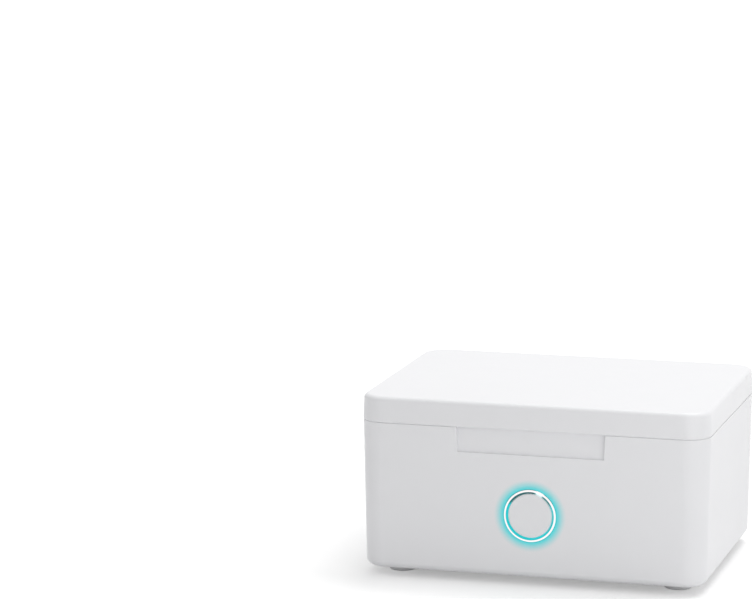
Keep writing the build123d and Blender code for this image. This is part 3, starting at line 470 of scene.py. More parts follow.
def skin_of(name, rings, low_pole, high_pole):
    """A closed skin over rings of points that run anticlockwise, from the low pole up to the high pole."""
    steps = len(rings[0])
    points = [low_pole] + [point for ring in rings for point in ring] + [high_pole]
    faces = [(0, 1 + (k + 1) % steps, 1 + k) for k in range(steps)]
    for row in range(len(rings) - 1):
        first = 1 + row * steps
        for k in range(steps):
            following = (k + 1) % steps
            faces.append((first + k, first + following, first + steps + following, first + steps + k))
    last = 1 + (len(rings) - 1) * steps
    faces += [(last + k, last + (k + 1) % steps, len(points) - 1) for k in range(steps)]
    mesh = bpy.data.meshes.new(name)
    mesh.from_pydata(points, [], faces)
    return mesh


def turned(name, profile, steps=48):
    """Turns a profile of (radius, height) pairs, from the lowest up, round the Z axis."""
    rings = [
        [(radius * cos(tau * k / steps), radius * sin(tau * k / steps), height) for k in range(steps)]
        for radius, height in profile
    ]
    return skin_of(name, rings, (0, 0, profile[0][1]), (0, 0, profile[-1][1]))


def rounded_block(name, size, edge):
    """A block with rounded edges, centred on the origin."""
    block = bmesh.new()
    bmesh.ops.create_cube(block, size=1.0, matrix=Matrix.Diagonal((*size, 1.0)))
    bmesh.ops.bevel(
        block, geom=block.edges[:], offset=edge, segments=3, profile=0.5, affect="EDGES", clamp_overlap=True
    )
    mesh = bpy.data.meshes.new(name)
    block.to_mesh(mesh)
    block.free()
    return mesh


def cut_cross(mesh, height, depth, span, width):
    """Sinks a tapered cross recess of the given depth into the top of a mesh."""
    cutter = bmesh.new()
    for turn in (0.0, pi / 2):
        made = bmesh.ops.create_cube(cutter, size=1.0)["verts"]
        for vertex in made:
            taper = 0.45 if vertex.co.z < 0 else 1.0
            vertex.co = Vector((vertex.co.x * span * taper, vertex.co.y * width, vertex.co.z * 2 * depth))
        bmesh.ops.rotate(cutter, verts=made, matrix=Matrix.Rotation(turn, 3, "Z"))
        bmesh.ops.translate(cutter, verts=made, vec=(0, 0, height + turn * 0.001 * depth))
    tool_mesh = bpy.data.meshes.new("cross")
    cutter.to_mesh(tool_mesh)
    cutter.free()
    tool = bpy.data.objects.new("cross", tool_mesh)
    holder = bpy.data.objects.new("cut", mesh)
    for item in (tool, holder):
        link(item)
    cut = holder.modifiers.new("cross", "BOOLEAN")
    cut.operation = "DIFFERENCE"
    cut.solver = "EXACT"
    cut.use_self = True
    cut.object = tool
    result = plain_mesh(holder)
    bpy.data.objects.remove(holder)
    bpy.data.objects.remove(tool)
    return result


def threaded_screw(name, head_radius, head_height, shank_radius, length, pitch):
    """A pan-head screw with a cross recess: its head stands on z = 0 and its shank hangs under it."""
    steps = 32
    rows_per_turn = 8
    root = 0.74 * shank_radius
    tip = 1.6 * shank_radius
    rows = []
    for row in range(int(rows_per_turn * (length - pitch) / pitch)):
        z = -length + pitch * row / rows_per_turn
        ring = []
        for k in range(steps):
            phase = (z / pitch - k / steps) % 1.0
            radius = root + (shank_radius - root) * max(0.0, 1.0 - 1.7 * abs(2.0 * phase - 1.0))
            radius *= min(1.0, 0.12 + (z + length) / tip)
            ring.append((radius * cos(tau * k / steps), radius * sin(tau * k / steps), z))
        rows.append(ring)
    crown = 0.55 * head_height
    head = [(root, -0.8 * pitch), (root, 0.0), (head_radius * 0.97, 0.0), (head_radius, 0.06 * head_height)]
    for k in range(9):
        turn = k * pi / 16
        flat = head_radius - crown
        head.append((flat + crown * cos(turn), head_height - crown + crown * sin(turn)))
    for radius, z in head:
        rows.append([(radius * cos(tau * k / steps), radius * sin(tau * k / steps), z) for k in range(steps)])
    blank = skin_of(name, rows, (0, 0, -length), (0, 0, head_height))
    return cut_cross(blank, head_height, 0.62 * head_height, 1.15 * head_radius, 0.26 * head_radius)


# ---------------------------------------------------------------- Geometry Nodes
def start_tree(name, *inputs):
    """A tree with one geometry output and the named inputs."""
    tree = bpy.data.node_groups.new(name, "GeometryNodeTree")
    tree.interface.new_socket(name="Geometry", in_out="OUTPUT", socket_type="NodeSocketGeometry")
    for label, kind in inputs:
        tree.interface.new_socket(name=label, in_out="INPUT", socket_type="NodeSocket" + kind)
    return tree, tree.nodes.new("NodeGroupInput").outputs


def join_up(tree, *pairs):
    for source, target in pairs:
        tree.links.new(source, target)


def end_tree(tree, geometry, material):
    realize = add_node(tree, "GeometryNodeRealizeInstances")
    paint = add_node(tree, "GeometryNodeSetMaterial")
    output = tree.nodes.new("NodeGroupOutput")
    join_up(
        tree,
        (geometry, realize.inputs[0]),
        (realize.outputs[0], paint.inputs["Geometry"]),
        (material, paint.inputs["Material"]),
        (paint.outputs[0], output.inputs[0]),
    )
    return tree


def grid_tree():
    """Sets copies of a unit on a grid of columns and rows."""
    tree, given = start_tree(
        "place_on_grid", ("Unit", "Geometry"), ("Columns", "Int"), ("Rows", "Int"), ("Width", "Float"),
        ("Depth", "Float"), ("Centre", "Vector"), ("Material", "Material"),
    )
    grid = add_node(tree, "GeometryNodeMeshGrid")
    move = add_node(tree, "GeometryNodeTransform")
    copies = add_node(tree, "GeometryNodeInstanceOnPoints")
    join_up(
        tree,
        (given["Columns"], grid.inputs["Vertices X"]),
        (given["Rows"], grid.inputs["Vertices Y"]),
        (given["Width"], grid.inputs["Size X"]),
        (given["Depth"], grid.inputs["Size Y"]),
        (grid.outputs["Mesh"], copies.inputs["Points"]),
        (given["Unit"], copies.inputs["Instance"]),
        (copies.outputs[0], move.inputs["Geometry"]),
        (given["Centre"], move.inputs["Translation"]),
    )
    return end_tree(tree, move.outputs[0], given["Material"])


def ring_tree():
    """Sets copies of a unit round a circle, each turned to face away from its middle."""
    tree, given = start_tree(
        "place_on_ring", ("Unit", "Geometry"), ("Count", "Int"), ("Radius", "Float"), ("Start", "Float"),
        ("Turn", "Vector"), ("Centre", "Vector"), ("Material", "Material"),
    )
    circle = add_node(tree, "GeometryNodeMeshCircle")
    copies = add_node(tree, "GeometryNodeInstanceOnPoints")
    move = add_node(tree, "GeometryNodeTransform")
    first = add_node(tree, "GeometryNodeTransform")
    spin = add_node(tree, "ShaderNodeCombineXYZ")
    start = add_node(tree, "ShaderNodeCombineXYZ")
    index = add_node(tree, "GeometryNodeInputIndex").outputs[0]
    angle = maths(tree, "MULTIPLY", index, maths(tree, "DIVIDE", tau, given["Count"]))
    join_up(
        tree,
        (given["Count"], circle.inputs["Vertices"]),
        (given["Radius"], circle.inputs["Radius"]),
        (circle.outputs[0], copies.inputs["Points"]),
        (given["Unit"], copies.inputs["Instance"]),
        (angle, spin.inputs["Z"]),
        (spin.outputs[0], copies.inputs["Rotation"]),
        (given["Start"], start.inputs["Z"]),
        (copies.outputs[0], first.inputs["Geometry"]),
        (start.outputs[0], first.inputs["Rotation"]),
        (first.outputs[0], move.inputs["Geometry"]),
        (given["Turn"], move.inputs["Rotation"]),
        (given["Centre"], move.inputs["Translation"]),
    )
    return end_tree(tree, move.outputs[0], given["Material"])


def fin_tree():
    """Folds a strip to and fro between two lines, on both sides of the heater's core."""
    tree, given = start_tree(
        "fold_fins", ("Legs", "Int"), ("Length", "Float"), ("Near", "Float"), ("Far", "Float"),
        ("Height", "Float"), ("Sheet", "Float"), ("Centre", "Vector"), ("Material", "Material"),
    )
    line = add_node(tree, "GeometryNodeCurvePrimitiveLine")
    points = add_node(tree, "GeometryNodeResampleCurve")
    place = add_node(tree, "GeometryNodeSetPosition")
    folded = add_node(tree, "ShaderNodeCombineXYZ")
    bend = add_node(tree, "GeometryNodeFilletCurve", {"Radius": 0.3 * MM, "Count": 5}, mode="POLY")
    upright = add_node(tree, "GeometryNodeSetCurveNormal", mode="Z_UP")
    section = add_node(tree, "GeometryNodeCurvePrimitiveQuadrilateral")
    sweep = add_node(tree, "GeometryNodeCurveToMesh", {"Fill Caps": True})
    other_side = add_node(tree, "GeometryNodeTransform", {"Rotation": (0.0, 0.0, pi)})
    both = add_node(tree, "GeometryNodeJoinGeometry")
    move = add_node(tree, "GeometryNodeTransform")
    index = add_node(tree, "GeometryNodeInputIndex").outputs[0]
    leg = maths(tree, "FLOOR", maths(tree, "DIVIDE", index, 2.0))
    last_leg = maths(tree, "SUBTRACT", given["Legs"], 1.0)
    along = maths(tree, "SUBTRACT", maths(tree, "DIVIDE", leg, last_leg), 0.5)
    crossing = maths(tree, "FLOOR", maths(tree, "DIVIDE", maths(tree, "ADD", index, 1.0), 2.0))
    far_end = maths(tree, "MODULO", crossing, 2.0)
    reach = maths(tree, "MULTIPLY", far_end, maths(tree, "SUBTRACT", given["Far"], given["Near"]))
    join_up(
        tree,
        (maths(tree, "MULTIPLY", given["Legs"], 2.0), points.inputs["Count"]),
        (line.outputs[0], points.inputs["Curve"]),
        (points.outputs[0], place.inputs["Geometry"]),
        (maths(tree, "MULTIPLY", along, given["Length"]), folded.inputs["X"]),
        (maths(tree, "ADD", given["Near"], reach), folded.inputs["Y"]),
        (folded.outputs[0], place.inputs["Position"]),
        (place.outputs[0], bend.inputs["Curve"]),
        (bend.outputs[0], upright.inputs["Curve"]),
        (given["Sheet"], section.inputs["Width"]),
        (given["Height"], section.inputs["Height"]),
        (upright.outputs[0], sweep.inputs["Curve"]),
        (section.outputs[0], sweep.inputs["Profile Curve"]),
        (sweep.outputs[0], other_side.inputs["Geometry"]),
        (sweep.outputs[0], both.inputs[0]),
        (other_side.outputs[0], both.inputs[0]),
        (both.outputs[0], move.inputs["Geometry"]),
        (given["Centre"], move.inputs["Translation"]),
    )
    return end_tree(tree, move.outputs[0], given["Material"])


def winding_tree():
    """Winds one wire round the stator, turn beside turn."""
    tree, given = start_tree(
        "wind_wire", ("Turns", "Float"), ("Radius", "Float"), ("Height", "Float"), ("Wire", "Float"),
        ("Centre", "Vector"), ("Material", "Material"),
    )
    coil = add_node(tree, "GeometryNodeCurveSpiral", {"Resolution": 48})
    section = add_node(tree, "GeometryNodeCurvePrimitiveCircle", {"Resolution": 8})
    sweep = add_node(tree, "GeometryNodeCurveToMesh", {"Fill Caps": True})
    move = add_node(tree, "GeometryNodeTransform")
    join_up(
        tree,
        (given["Turns"], coil.inputs["Rotations"]),
        (given["Radius"], coil.inputs["Start Radius"]),
        (given["Radius"], coil.inputs["End Radius"]),
        (given["Height"], coil.inputs["Height"]),
        (given["Wire"], section.inputs["Radius"]),
        (coil.outputs[0], sweep.inputs["Curve"]),
        (section.outputs[0], sweep.inputs["Profile Curve"]),
        (sweep.outputs[0], move.inputs["Geometry"]),
        (given["Centre"], move.inputs["Translation"]),
    )
    return end_tree(tree, move.outputs[0], given["Material"])


def grow(name, tree, unit=None, **values):
    """Runs a tree on a unit mesh with the given inputs, and returns what it makes as a plain mesh."""
    holder = bpy.data.objects.new(name, unit or bpy.data.meshes.new(name))
    link(holder)
    modifier = holder.modifiers.new(name, "NODES")
    modifier.node_group = tree
    for item in tree.interface.items_tree:
        if item.in_out == "INPUT" and item.name in values:
            modifier[item.identifier] = values[item.name]
    made = plain_mesh(holder)
    holder.modifiers.remove(modifier)
    bpy.data.objects.remove(holder)
    return made


# ---------------------------------------------------------------- operators
class DRYER_OT_base_shell(bpy.types.Operator):
    """Finish the base shell, with the ring's light painted into its wall round the button"""

    bl_idname = "dryer.base_shell"
    bl_label = "Base Shell"

    def execute(self, context):
        scene = context.scene
        dress(context, "base_shell", "housing", lit_housing(scene.dryer_housing, scene.dryer_glow))
        return {"FINISHED"}


def seam_lip(lid_low, lid_high):
    """A thin lip under the lid's edge, along the front and most of each side."""
    corner = 7.0 * MM
    steps = 10
    rear_end = 25 * MM
    outer_inset, inner_inset = 0.28 * MM, 1.4 * MM
    half = lid_high.x - corner
    front = lid_low.y + corner
    path = [Vector((-lid_high.x, rear_end)), Vector((-lid_high.x, front))]
    outward = [Vector((-1, 0)), Vector((-1, 0))]
    for side, start in ((-1, pi), (1, 1.5 * pi)):
        for k in range(steps + 1):
            way = Vector((cos(start + k * pi / 2 / steps), sin(start + k * pi / 2 / steps)))
            path.append(Vector((side * half, front)) + corner * way)
            outward.append(way)
    path += [Vector((lid_high.x, front)), Vector((lid_high.x, rear_end))]
    outward += [Vector((1, 0)), Vector((1, 0))]
    top = seam_height + 0.05 * MM
    bottom = seam_height - 0.15 * MM
    section = ((outer_inset, bottom), (inner_inset, bottom), (inner_inset, top), (outer_inset, top))
    points = []
    for place, way in zip(path, outward):
        for inset, height in section:
            edge = place - inset * way
            points.append((edge.x, edge.y, height))
    faces = [(3, 2, 1, 0)]
    for row in range(0, len(points) - 4, 4):
        faces += [(row + k, row + (k + 1) % 4, row + 4 + (k + 1) % 4, row + 4 + k) for k in range(4)]
    faces.append(tuple(range(len(points) - 4, len(points))))
    mesh = bpy.data.meshes.new("seam_lip")
    mesh.from_pydata(points, [], faces)
    skin = bmesh.new()
    skin.from_mesh(mesh)
    bmesh.ops.remove_doubles(skin, verts=skin.verts, dist=0.001 * MM)
    bmesh.ops.recalc_face_normals(skin, faces=skin.faces)
    skin.to_mesh(mesh)
    skin.free()
    return mesh


class DRYER_OT_lid(bpy.types.Operator):
    """Finish the lid, the lip along its edge, and its liner"""

    bl_idname = "dryer.lid"
    bl_label = "Lid"

    def execute(self, context):
        look = context.scene.dryer_housing
        satin = satin_plastic("satin_white_lid", look.shell_colour, look)
        dress(context, "lid_shell", "housing", satin)
        lip = settle_normals(seam_lip(*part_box("lid_shell")), look.crease_angle)
        add_piece("lid_seam_lip", lip, "lid", "housing", satin)
        dress(context, "lid_liner", "tub", satin_plastic("satin_white_liner", look.tub_colour, look, 1.6))
        return {"FINISHED"}


class DRYER_OT_tub(bpy.types.Operator):
    """Finish the drying tub, its grille and the air duct under it"""

    bl_idname = "dryer.tub"
    bl_label = "Drying Tub"

    def execute(self, context):
        look = context.scene.dryer_housing
        dress(context, "chamber_tub", "tub", satin_plastic("satin_white_tub", look.tub_colour, look, 1.6))
        dress(context, "drying_grille", "tub", satin_plastic("satin_white_grille", look.tub_colour, look))
        grey = grained_plastic("duct_plastic", (0.7, 0.7, 0.68), 0.5, 0.3 * MM, 4e-6)
        dress(context, "air_duct", "duct", grey)
        return {"FINISHED"}


def set_lamps(context):
    """Replaces the ring of lamps by white cases with domed resin lenses."""
    hardware = context.scene.dryer_hardware
    low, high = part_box("ring_leds")
    depth = high.y - low.y
    lamp_inset = 0.67 * MM  # from the ring's outer edge to the middle of a lamp
    case_size = (1.6 * MM, 2.8 * MM, 0.75 * depth)
    dome_radius = 0.7 * MM
    radius = (high.z - low.z) / 2 - lamp_inset
    centre = Vector((0.0, high.y, button_height))
    case = rounded_block("case", case_size, 0.08 * MM)
    case.transform(Matrix.Translation((0, 0, case_size[2] / 2)))
    dome = [(dome_radius * cos(k * pi / 16), depth * (0.6 + 0.4 * sin(k * pi / 16))) for k in range(8)]
    white = grained_plastic("lamp_case", (0.82, 0.82, 0.8), 0.4, 0.3 * MM, 2e-6)
    resin = grained_plastic("lamp_resin", (0.78, 0.72, 0.3), 0.15, 0.3 * MM, 2e-6)
    parts = (("lamp_cases", case, white), ("lamp_lenses", turned("dome", dome, 24), resin))
    for name, unit, material in parts:
        mesh = grow(
            name, ring_tree(), unit, Count=hardware.lamp_count, Radius=radius, Start=pi / hardware.lamp_count,
            Turn=Vector((pi / 2, 0.0, 0.0)), Centre=centre, Material=material,
        )
        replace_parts(add_piece(name, settle_normals(mesh, radians(40)), "root", "led", material), "ring_leds")


class DRYER_OT_light_button(bpy.types.Operator):
    """Finish the push button, the lit ring round it, and the switch and lamps behind"""

    bl_idname = "dryer.light_button"
    bl_label = "Lit Button"

    def execute(self, context):
        scene = context.scene
        look = scene.dryer_housing
        dress(context, "button_cap", "button", satin_plastic("satin_white_button", look.shell_colour, look))
        dress(context, "light_ring", "light_guide", light_guide(scene.dryer_glow))
        black = grained_plastic("switch_black", (0.025, 0.025, 0.027), 0.4, 0.2 * MM, 3e-6)
        dress(context, "push_switch", "black_plastic", black)
        grey = grained_plastic("switch_grey", (0.33, 0.33, 0.34), 0.35, 0.2 * MM, 2e-6)
        dress(context, "switch_plunger", "switch_grey", grey)
        set_lamps(context)
        return {"FINISHED"}


class DRYER_OT_bottom(bpy.types.Operator):
    """Finish the bottom cover and the feet"""

    bl_idname = "dryer.bottom"
    bl_label = "Bottom"

    def execute(self, context):
        scene = context.scene
        look = scene.dryer_housing
        satin = satin_plastic("satin_white_cover", look.cover_colour, look, 2.0)
        dress(context, "bottom_cover", "cover", satin)
        rubber = grained_plastic("foot_rubber", scene.dryer_hardware.rubber_colour, 0.62, 0.12 * MM, 8e-6)
        feet = ("foot_front_left", "foot_front_right", "foot_rear_left", "foot_rear_right")
        low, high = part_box(feet[0])
        far_low, far_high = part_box(feet[3])
        radius = (high.x - low.x) / 2
        height = high.z - low.z
        edge = 0.8 * MM
        hollow = 0.15 * MM  # the middle of the sole stands this far off the table
        profile = [(0.55 * radius, hollow), (0.6 * radius, 0.0), (radius - edge, 0.0)]
        profile += [
            (radius - edge + edge * sin(k * pi / 12), edge - edge * cos(k * pi / 12)) for k in range(1, 7)
        ]
        profile.append((radius, height))
        centre = Vector((low.x + far_high.x, low.y + far_high.y, 0.0)) / 2
        mesh = grow(
            "rubber_feet", grid_tree(), turned("foot", profile), Columns=2, Rows=2, Width=far_low.x - low.x,
            Depth=far_low.y - low.y, Centre=centre, Material=rubber,
        )
        mesh = settle_normals(mesh, look.crease_angle)
        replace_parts(add_piece("rubber_feet", mesh, "root", "rubber", rubber), *feet)
        return {"FINISHED"}


def set_screws(context, node, head_radius, head_height, shank_radius, facing, material):
    """Replaces a node's screws by threaded ones whose heads face the given way along Z or Y."""
    pitch = context.scene.dryer_hardware.thread_share * shank_radius
    low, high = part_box(node)
    size = high - low
    lying = facing == "+Y"
    length = (size.y if lying else size.z) - head_height
    unit = threaded_screw("screw", head_radius, head_height, shank_radius, length, pitch)
    turns = {"+Z": 0.0, "-Z": pi, "+Y": -pi / 2}
    unit.transform(Matrix.Rotation(turns[facing], 4, "X"))
    width = size.x - 2 * head_radius
    depth = 0.0 if lying else size.y - 2 * head_radius
    centre = (low + high) / 2
    if lying:
        centre.y = high.y - head_height
    else:
        centre.z = high.z - head_height if facing == "+Z" else low.z + head_height
    rows = 2 if depth > head_radius else 1
    mesh = grow(
        node, grid_tree(), unit, Columns=2, Rows=rows, Width=width, Depth=depth, Centre=centre,
        Material=material,
    )
    mesh = settle_normals(mesh, context.scene.dryer_housing.crease_angle)
    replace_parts(add_piece(node + "_threaded", mesh, "root", "steel", material), node)


class DRYER_OT_screws(bpy.types.Operator):
    """Set the cover's and the boards' screws, with threads and cross recesses"""

    bl_idname = "dryer.screws"
    bl_label = "Screws"

    def execute(self, context):
        hardware = context.scene.dryer_hardware
        steel = brushed_metal("screw_steel", hardware.steel_colour, 0.28)
        cover = (hardware.cover_head, hardware.cover_head_height, hardware.cover_shank)
        board = (hardware.board_head, hardware.board_head_height, hardware.board_shank)
        set_screws(context, "cover_screws", *cover, "-Z", steel)
        set_screws(context, "main_board_screws", *board, "+Z", steel)
        set_screws(context, "front_board_screws", *board, "+Y", steel)
        return {"FINISHED"}


class DRYER_OT_metalwork(bpy.types.Operator):
    """Finish the hinge pins and the power inlet with its gilt contacts"""

    bl_idname = "dryer.metalwork"
    bl_label = "Hinge Pins and Inlet"

    def execute(self, context):
        hardware = context.scene.dryer_hardware
        steel = brushed_metal("bright_steel", hardware.steel_colour, 0.28)
        for node in ("hinge_pin_left", "hinge_pin_right"):
            dress(context, node, "steel", steel)
        black = grained_plastic("tongue_black", (0.02, 0.02, 0.022), 0.35, 0.2 * MM, 2e-6)
        inlet = dress(context, "power_inlet", "steel", steel, black)
        low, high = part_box("power_inlet")
        middle = (low + high) / 2
        tongue_width, tongue_height = 6.7 * MM, 0.7 * MM
        margin = 0.01 * MM
        for face in inlet.data.polygons:
            offset = face.center - middle
            beside = abs(offset.x) < tongue_width / 2 + margin
            level = abs(offset.z) < tongue_height / 2 + margin
            face.material_index = int(beside and level)
        gold = brushed_metal("contact_gold", hardware.gold_colour, 0.22, (1.0, 10.0, 1.0))
        contact_size = (0.26 * MM, 3.4 * MM, tongue_height + 0.08 * MM)
        contact_row = 5.5 * MM
        mouth_to_contact = 3.2 * MM
        strip = rounded_block("contact", contact_size, 0.03 * MM)
        centre = Vector((middle.x, high.y - mouth_to_contact, middle.z))
        mesh = grow(
            "inlet_contacts", grid_tree(), strip, Columns=12, Rows=1, Width=contact_row, Depth=0.0,
            Centre=centre, Material=gold,
        )
        add_piece("inlet_contacts", settle_normals(mesh, radians(40)), "root", "steel", gold)
        return {"FINISHED"}


def wind_stator(context, material):
    """Adds the outer layer of wire round the stator."""
    wire = context.scene.dryer_hardware.wire_radius
    low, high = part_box("fan_stator")
    height = high.z - low.z - 4 * wire
    centre = Vector(((low.x + high.x) / 2, (low.y + high.y) / 2, low.z + 2 * wire))
    mesh = grow(
        "stator_winding", winding_tree(), Turns=height / (2.1 * wire), Radius=(high.x - low.x) / 2,
        Height=height, Wire=wire, Centre=centre, Material=material,
    )
    add_piece("stator_winding", settle_normals(mesh, radians(60)), "root", "copper", material)


class DRYER_OT_fan(bpy.types.Operator):
    """Finish the fan: frame, bearing, winding, impeller and shaft"""

    bl_idname = "dryer.fan"
    bl_label = "Fan"

    def execute(self, context):
        black = grained_plastic("fan_black", (0.022, 0.022, 0.024), 0.45, 0.25 * MM, 4e-6)
        dress(context, "fan_frame", "black_plastic", black)
        dress(context, "fan_impeller", "black_plastic", black)
        dress(context, "fan_bearing", "bronze", brushed_metal("sintered_bronze", (0.5, 0.32, 0.15), 0.4))
        copper = wound_wire("winding_wire", (0.72, 0.33, 0.14))
        dress(context, "fan_stator", "copper", copper)
        wind_stator(context, brushed_metal("enamelled_wire", (0.74, 0.34, 0.15), 0.3))
        dress(context, "fan_shaft", "steel", brushed_metal("shaft_steel", (0.6, 0.6, 0.6), 0.2))
        return {"FINISHED"}


class DRYER_OT_heater(bpy.types.Operator):
    """Finish the heater: its ceramic core and the fins on both sides"""

    bl_idname = "dryer.heater"
    bl_label = "Heater"

    def execute(self, context):
        ceramic = grained_plastic("heater_ceramic", (0.42, 0.4, 0.36), 0.7, 0.15 * MM, 9e-6)
        dress(context, "heater_core", "ceramic", ceramic)
        hardware = context.scene.dryer_hardware
        aluminium = brushed_metal("fin_aluminium", (0.72, 0.72, 0.74), 0.3, (14.0, 1.0, 1.0))
        core_low, core_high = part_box("heater_core")
        low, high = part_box("heater_fins")
        sheet = hardware.fin_sheet
        centre = (low + high) / 2
        mesh = grow(
            "folded_fins", fin_tree(), Legs=hardware.fin_legs, Length=high.x - low.x - sheet,
            Near=(core_high.y - core_low.y) / 2 + sheet, Far=(high.y - low.y) / 2 - sheet / 2,
            Height=high.z - low.z, Sheet=sheet, Centre=centre, Material=aluminium,
        )
        fins = add_piece("folded_fins", settle_normals(mesh, radians(40)), "root", "fins", aluminium)
        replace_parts(fins, "heater_fins")
        return {"FINISHED"}


def set_chip(context):
    """Replaces the chip by an epoxy body with tinned leads on all four sides."""
    low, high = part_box("controller_chip")
    size = high - low
    middle = (low + high) / 2
    epoxy = grained_plastic("chip_epoxy", (0.02, 0.02, 0.021), 0.5, 0.1 * MM, 4e-6)
    lead_reach = 0.5 * MM  # the leads stand this far out of the body
    lead_size = (0.6 * MM, 0.26 * MM, 0.16 * MM)
    body = rounded_block(
        "chip", (size.x - 2 * lead_reach, size.y - 2 * lead_reach, 0.88 * size.z), 0.12 * MM
    )
    body.transform(Matrix.Translation(middle + Vector((0, 0, 0.06 * size.z))))
    chip = add_piece("chip_body", settle_normals(body, radians(50)), "root", "black_plastic", epoxy)
    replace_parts(chip, "controller_chip")
    tin = brushed_metal("lead_tin", (0.66, 0.66, 0.64), 0.3)
    lead = rounded_block("lead", lead_size, 0.04 * MM)
    row = grow(
        "row", grid_tree(), lead, Columns=1, Rows=10, Width=0.0, Depth=0.72 * size.y, Centre=Vector(),
        Material=tin,
    )
    mesh = grow(
        "chip_leads", ring_tree(), row, Count=4, Radius=(size.x - lead_size[0]) / 2, Start=0.0,
        Turn=Vector(), Centre=Vector((middle.x, middle.y, low.z + lead_size[2] / 2)), Material=tin,
    )
    add_piece("chip_leads", settle_normals(mesh, radians(50)), "root", "steel", tin)


def set_capacitors(context):
    """Replaces the capacitors by crimped cans with a scored top."""
    low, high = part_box("capacitors")
    size = high - low
    radius = size.y / 2
    height = size.z
    profile = [(radius * 0.9, 0.0), (radius, 0.3 * MM), (radius, 0.9 * MM), (radius * 0.9, 1.2 * MM)]
    top_edge = 0.4 * MM
    profile += [(radius, 1.5 * MM), (radius, height - top_edge)]
    for turn in (pi / 8, pi / 4, 3 * pi / 8, pi / 2):
        profile.append((radius - top_edge * (1 - cos(turn)), height - top_edge * (1 - sin(turn))))
    scored = cut_cross(turned("can", profile), height, 0.12 * MM, 1.5 * radius, 0.2 * MM)
    can = brushed_metal("can_aluminium", (0.68, 0.68, 0.7), 0.25)
    mesh = grow(
        "scored_cans", grid_tree(), scored, Columns=2, Rows=1, Width=size.x - 2 * radius, Depth=0.0,
        Centre=Vector(((low.x + high.x) / 2, (low.y + high.y) / 2, low.z)), Material=can,
    )
    cans = add_piece("scored_cans", settle_normals(mesh, radians(35)), "root", "can", can)
    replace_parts(cans, "capacitors")


class DRYER_OT_electronics(bpy.types.Operator):
    """Finish the two circuit boards, what is soldered to them, and the cables"""

    bl_idname = "dryer.electronics"
    bl_label = "Electronics"

    def execute(self, context):
        board = circuit_board("board_green", context.scene.dryer_hardware.board_colour)
        dress(context, "main_board", "circuit_board", board)
        dress(context, "front_board", "circuit_board", board)
        set_chip(context)
        set_capacitors(context)
        nylon = grained_plastic("connector_nylon", (0.78, 0.75, 0.66), 0.45, 0.3 * MM, 4e-6)
        dress(context, "board_connectors", "connector", nylon)
        sheath = grained_plastic("cable_sheath", (0.03, 0.03, 0.032), 0.5, 0.3 * MM, 4e-6)
        for node in ("heater_cable", "fan_cable", "button_cable"):
            dress(context, node, "cable", sheath)
        return {"FINISHED"}


class DRYER_OT_stage(bpy.types.Operator):
    """Set the floor, the lamps, the even light and the camera"""

    bl_idname = "dryer.stage"
    bl_label = "Studio"

    def execute(self, context):
        stage = context.scene.dryer_stage
        lay_floor(stage)
        light_studio(context.scene, stage)
        aim_camera(context.scene, stage)
        context.scene.view_settings.view_transform = "Standard"
        return {"FINISHED"}


def lay_floor(stage):
    """A wide pale floor, which the camera sees as white where no shadow falls on it."""
    half = 4.0
    lift_start, lift_end = 0.1, 0.6  # distances from the box, in metres
    outline = [(-half, -half, 0), (half, -half, 0), (half, half, 0), (-half, half, 0)]
    mesh = bpy.data.meshes.new("floor")
    mesh.from_pydata(outline, [], [(0, 1, 2, 3)])
    material, tree, shader, place = start_material("floor_paper")
    vary(tree, shader, place, stage.floor_colour, 40 * MM, 0.004, 0.7, 0.03)
    shader.inputs["Specular IOR Level"].default_value = 0.0
    away = add_node(tree, "ShaderNodeVectorMath", operation="LENGTH")
    tree.links.new(place, away.inputs[0])
    whitening = remap(tree, away.outputs["Value"], lift_start, lift_end, 0.32, 0.66)
    lift = add_node(tree, "ShaderNodeEmission", {"Color": (1.0, 1.0, 1.0, 1.0)})
    tree.links.new(maths(tree, "MULTIPLY", seen_directly(tree), whitening), lift.inputs["Strength"])
    total = add_node(tree, "ShaderNodeAddShader")
    tree.links.new(shader.outputs[0], total.inputs[0])
    tree.links.new(lift.outputs[0], total.inputs[1])
    output = next(n for n in tree.nodes if n.type == "OUTPUT_MATERIAL")
    tree.links.new(total.outputs[0], output.inputs["Surface"])
    mesh.materials.append(material)
    floor = bpy.data.objects.new("floor", mesh)
    link(floor)


def seen_directly(tree):
    """One for rays from the camera, a mirror or clear plastic, nought for even light."""
    path = add_node(tree, "ShaderNodeLightPath").outputs
    through = maths(tree, "MAXIMUM", path["Is Glossy Ray"], path["Is Transmission Ray"])
    return maths(tree, "MAXIMUM", path["Is Camera Ray"], through)


def add_lamp(name, energy, width, height, place, aim):
    lamp = bpy.data.lights.new(name, "AREA")
    lamp.energy = energy
    lamp.shape = "RECTANGLE"
    lamp.size = width
    lamp.size_y = height
    holder = bpy.data.objects.new(name, lamp)
    holder.visible_camera = False
    holder.location = place
    holder.rotation_euler = (Vector(aim) - Vector(place)).to_track_quat("-Z", "Y").to_euler()
    link(holder)


def light_studio(scene, stage):
    world = bpy.data.worlds.new("studio")
    world.use_nodes = True
    scene.world = world
    tree = world.node_tree
    background = next(n for n in tree.nodes if n.type == "BACKGROUND")
    background.inputs["Color"].default_value = (1.0, 1.0, 1.0, 1.0)
    tree.links.new(remap(tree, seen_directly(tree), 0.0, 1.0, stage.sky, 1.0), background.inputs["Strength"])
    add_lamp("key", stage.key_energy, 0.7, 0.4, (0.15, 0.24, 0.93), (0.0, 0.0, 0.02))
    add_lamp("fill", stage.fill_energy, 0.2, 0.2, (0.2, -0.25, 0.1), (0.03, -0.04, 0.03))


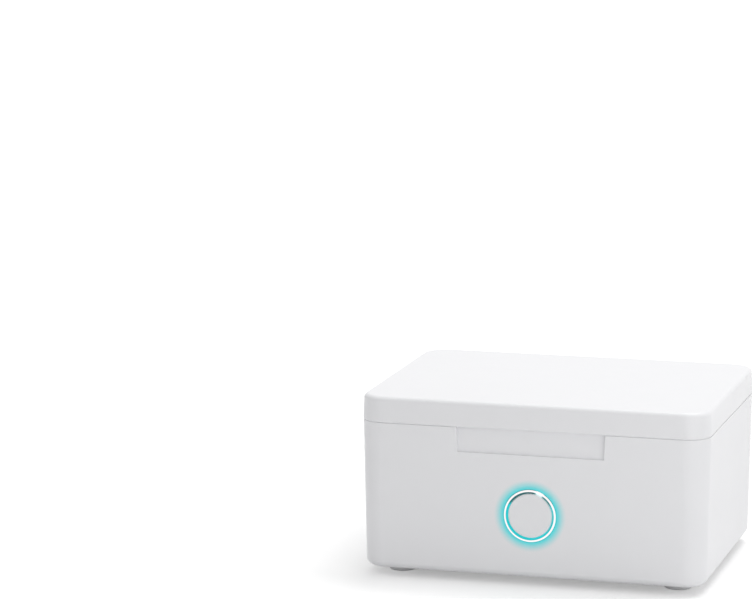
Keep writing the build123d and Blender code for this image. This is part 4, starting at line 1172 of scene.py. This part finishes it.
def aim_camera(scene, stage):
    """Places the camera from its angles and distance, with the box off the view's middle."""
    az, el, roll = stage.azimuth, stage.elevation, stage.roll
    back = Vector((sin(az) * cos(el), -cos(az) * cos(el), sin(el)))
    level_right = Vector((cos(az), sin(az), 0.0))
    level_up = back.cross(level_right)
    right = cos(roll) * level_right - sin(roll) * level_up
    up = sin(roll) * level_right + cos(roll) * level_up
    middle = Vector((0.0, -1.65 * MM, 27.5 * MM))  # the point that the camera turns round
    camera = bpy.data.objects.new("camera", bpy.data.cameras.new("camera"))
    camera.data.sensor_width = 36.0
    camera.data.lens = stage.lens
    camera.matrix_world = Matrix.Translation(
        middle + stage.distance * back - stage.shift_right * right - stage.shift_up * up
    ) @ Matrix((right, up, back)).transposed().to_4x4()
    scene.collection.objects.link(camera)
    scene.camera = camera


# ---------------------------------------------------------------- panel and registration
OPERATORS = (
    DRYER_OT_base_shell,
    DRYER_OT_lid,
    DRYER_OT_tub,
    DRYER_OT_light_button,
    DRYER_OT_bottom,
    DRYER_OT_screws,
    DRYER_OT_metalwork,
    DRYER_OT_fan,
    DRYER_OT_heater,
    DRYER_OT_electronics,
    DRYER_OT_stage,
)
SETTINGS = {
    "dryer_housing": HousingLook,
    "dryer_glow": GlowLook,
    "dryer_hardware": HardwareLook,
    "dryer_stage": StageLook,
}


class DRYER_PT_sidebar(bpy.types.Panel):
    """Lists the settings and the steps that dress the dryer"""

    bl_idname = "DRYER_PT_sidebar"
    bl_label = "Hearing Aid Dryer"
    bl_space_type = "VIEW_3D"
    bl_region_type = "UI"
    bl_category = "Dryer"

    def draw(self, context):
        for step in OPERATORS:
            self.layout.operator(step.bl_idname)
        for name, group in SETTINGS.items():
            box = self.layout.box()
            for field in group.__annotations__:
                box.prop(getattr(context.scene, name), field)


CLASSES = (*SETTINGS.values(), *OPERATORS, DRYER_PT_sidebar)


def register():
    for item in CLASSES:
        bpy.utils.register_class(item)
    for name, group in SETTINGS.items():
        setattr(bpy.types.Scene, name, PointerProperty(type=group))


def unregister():
    for name in SETTINGS:
        delattr(bpy.types.Scene, name)
    for item in reversed(CLASSES):
        bpy.utils.unregister_class(item)


def main():
    register()
    bpy.ops.dryer.base_shell()
    bpy.ops.dryer.lid()
    bpy.ops.dryer.tub()
    bpy.ops.dryer.light_button()
    bpy.ops.dryer.bottom()
    bpy.ops.dryer.screws()
    bpy.ops.dryer.metalwork()
    bpy.ops.dryer.fan()
    bpy.ops.dryer.heater()
    bpy.ops.dryer.electronics()
    bpy.ops.dryer.stage()


if __name__ == "__main__":
    main()
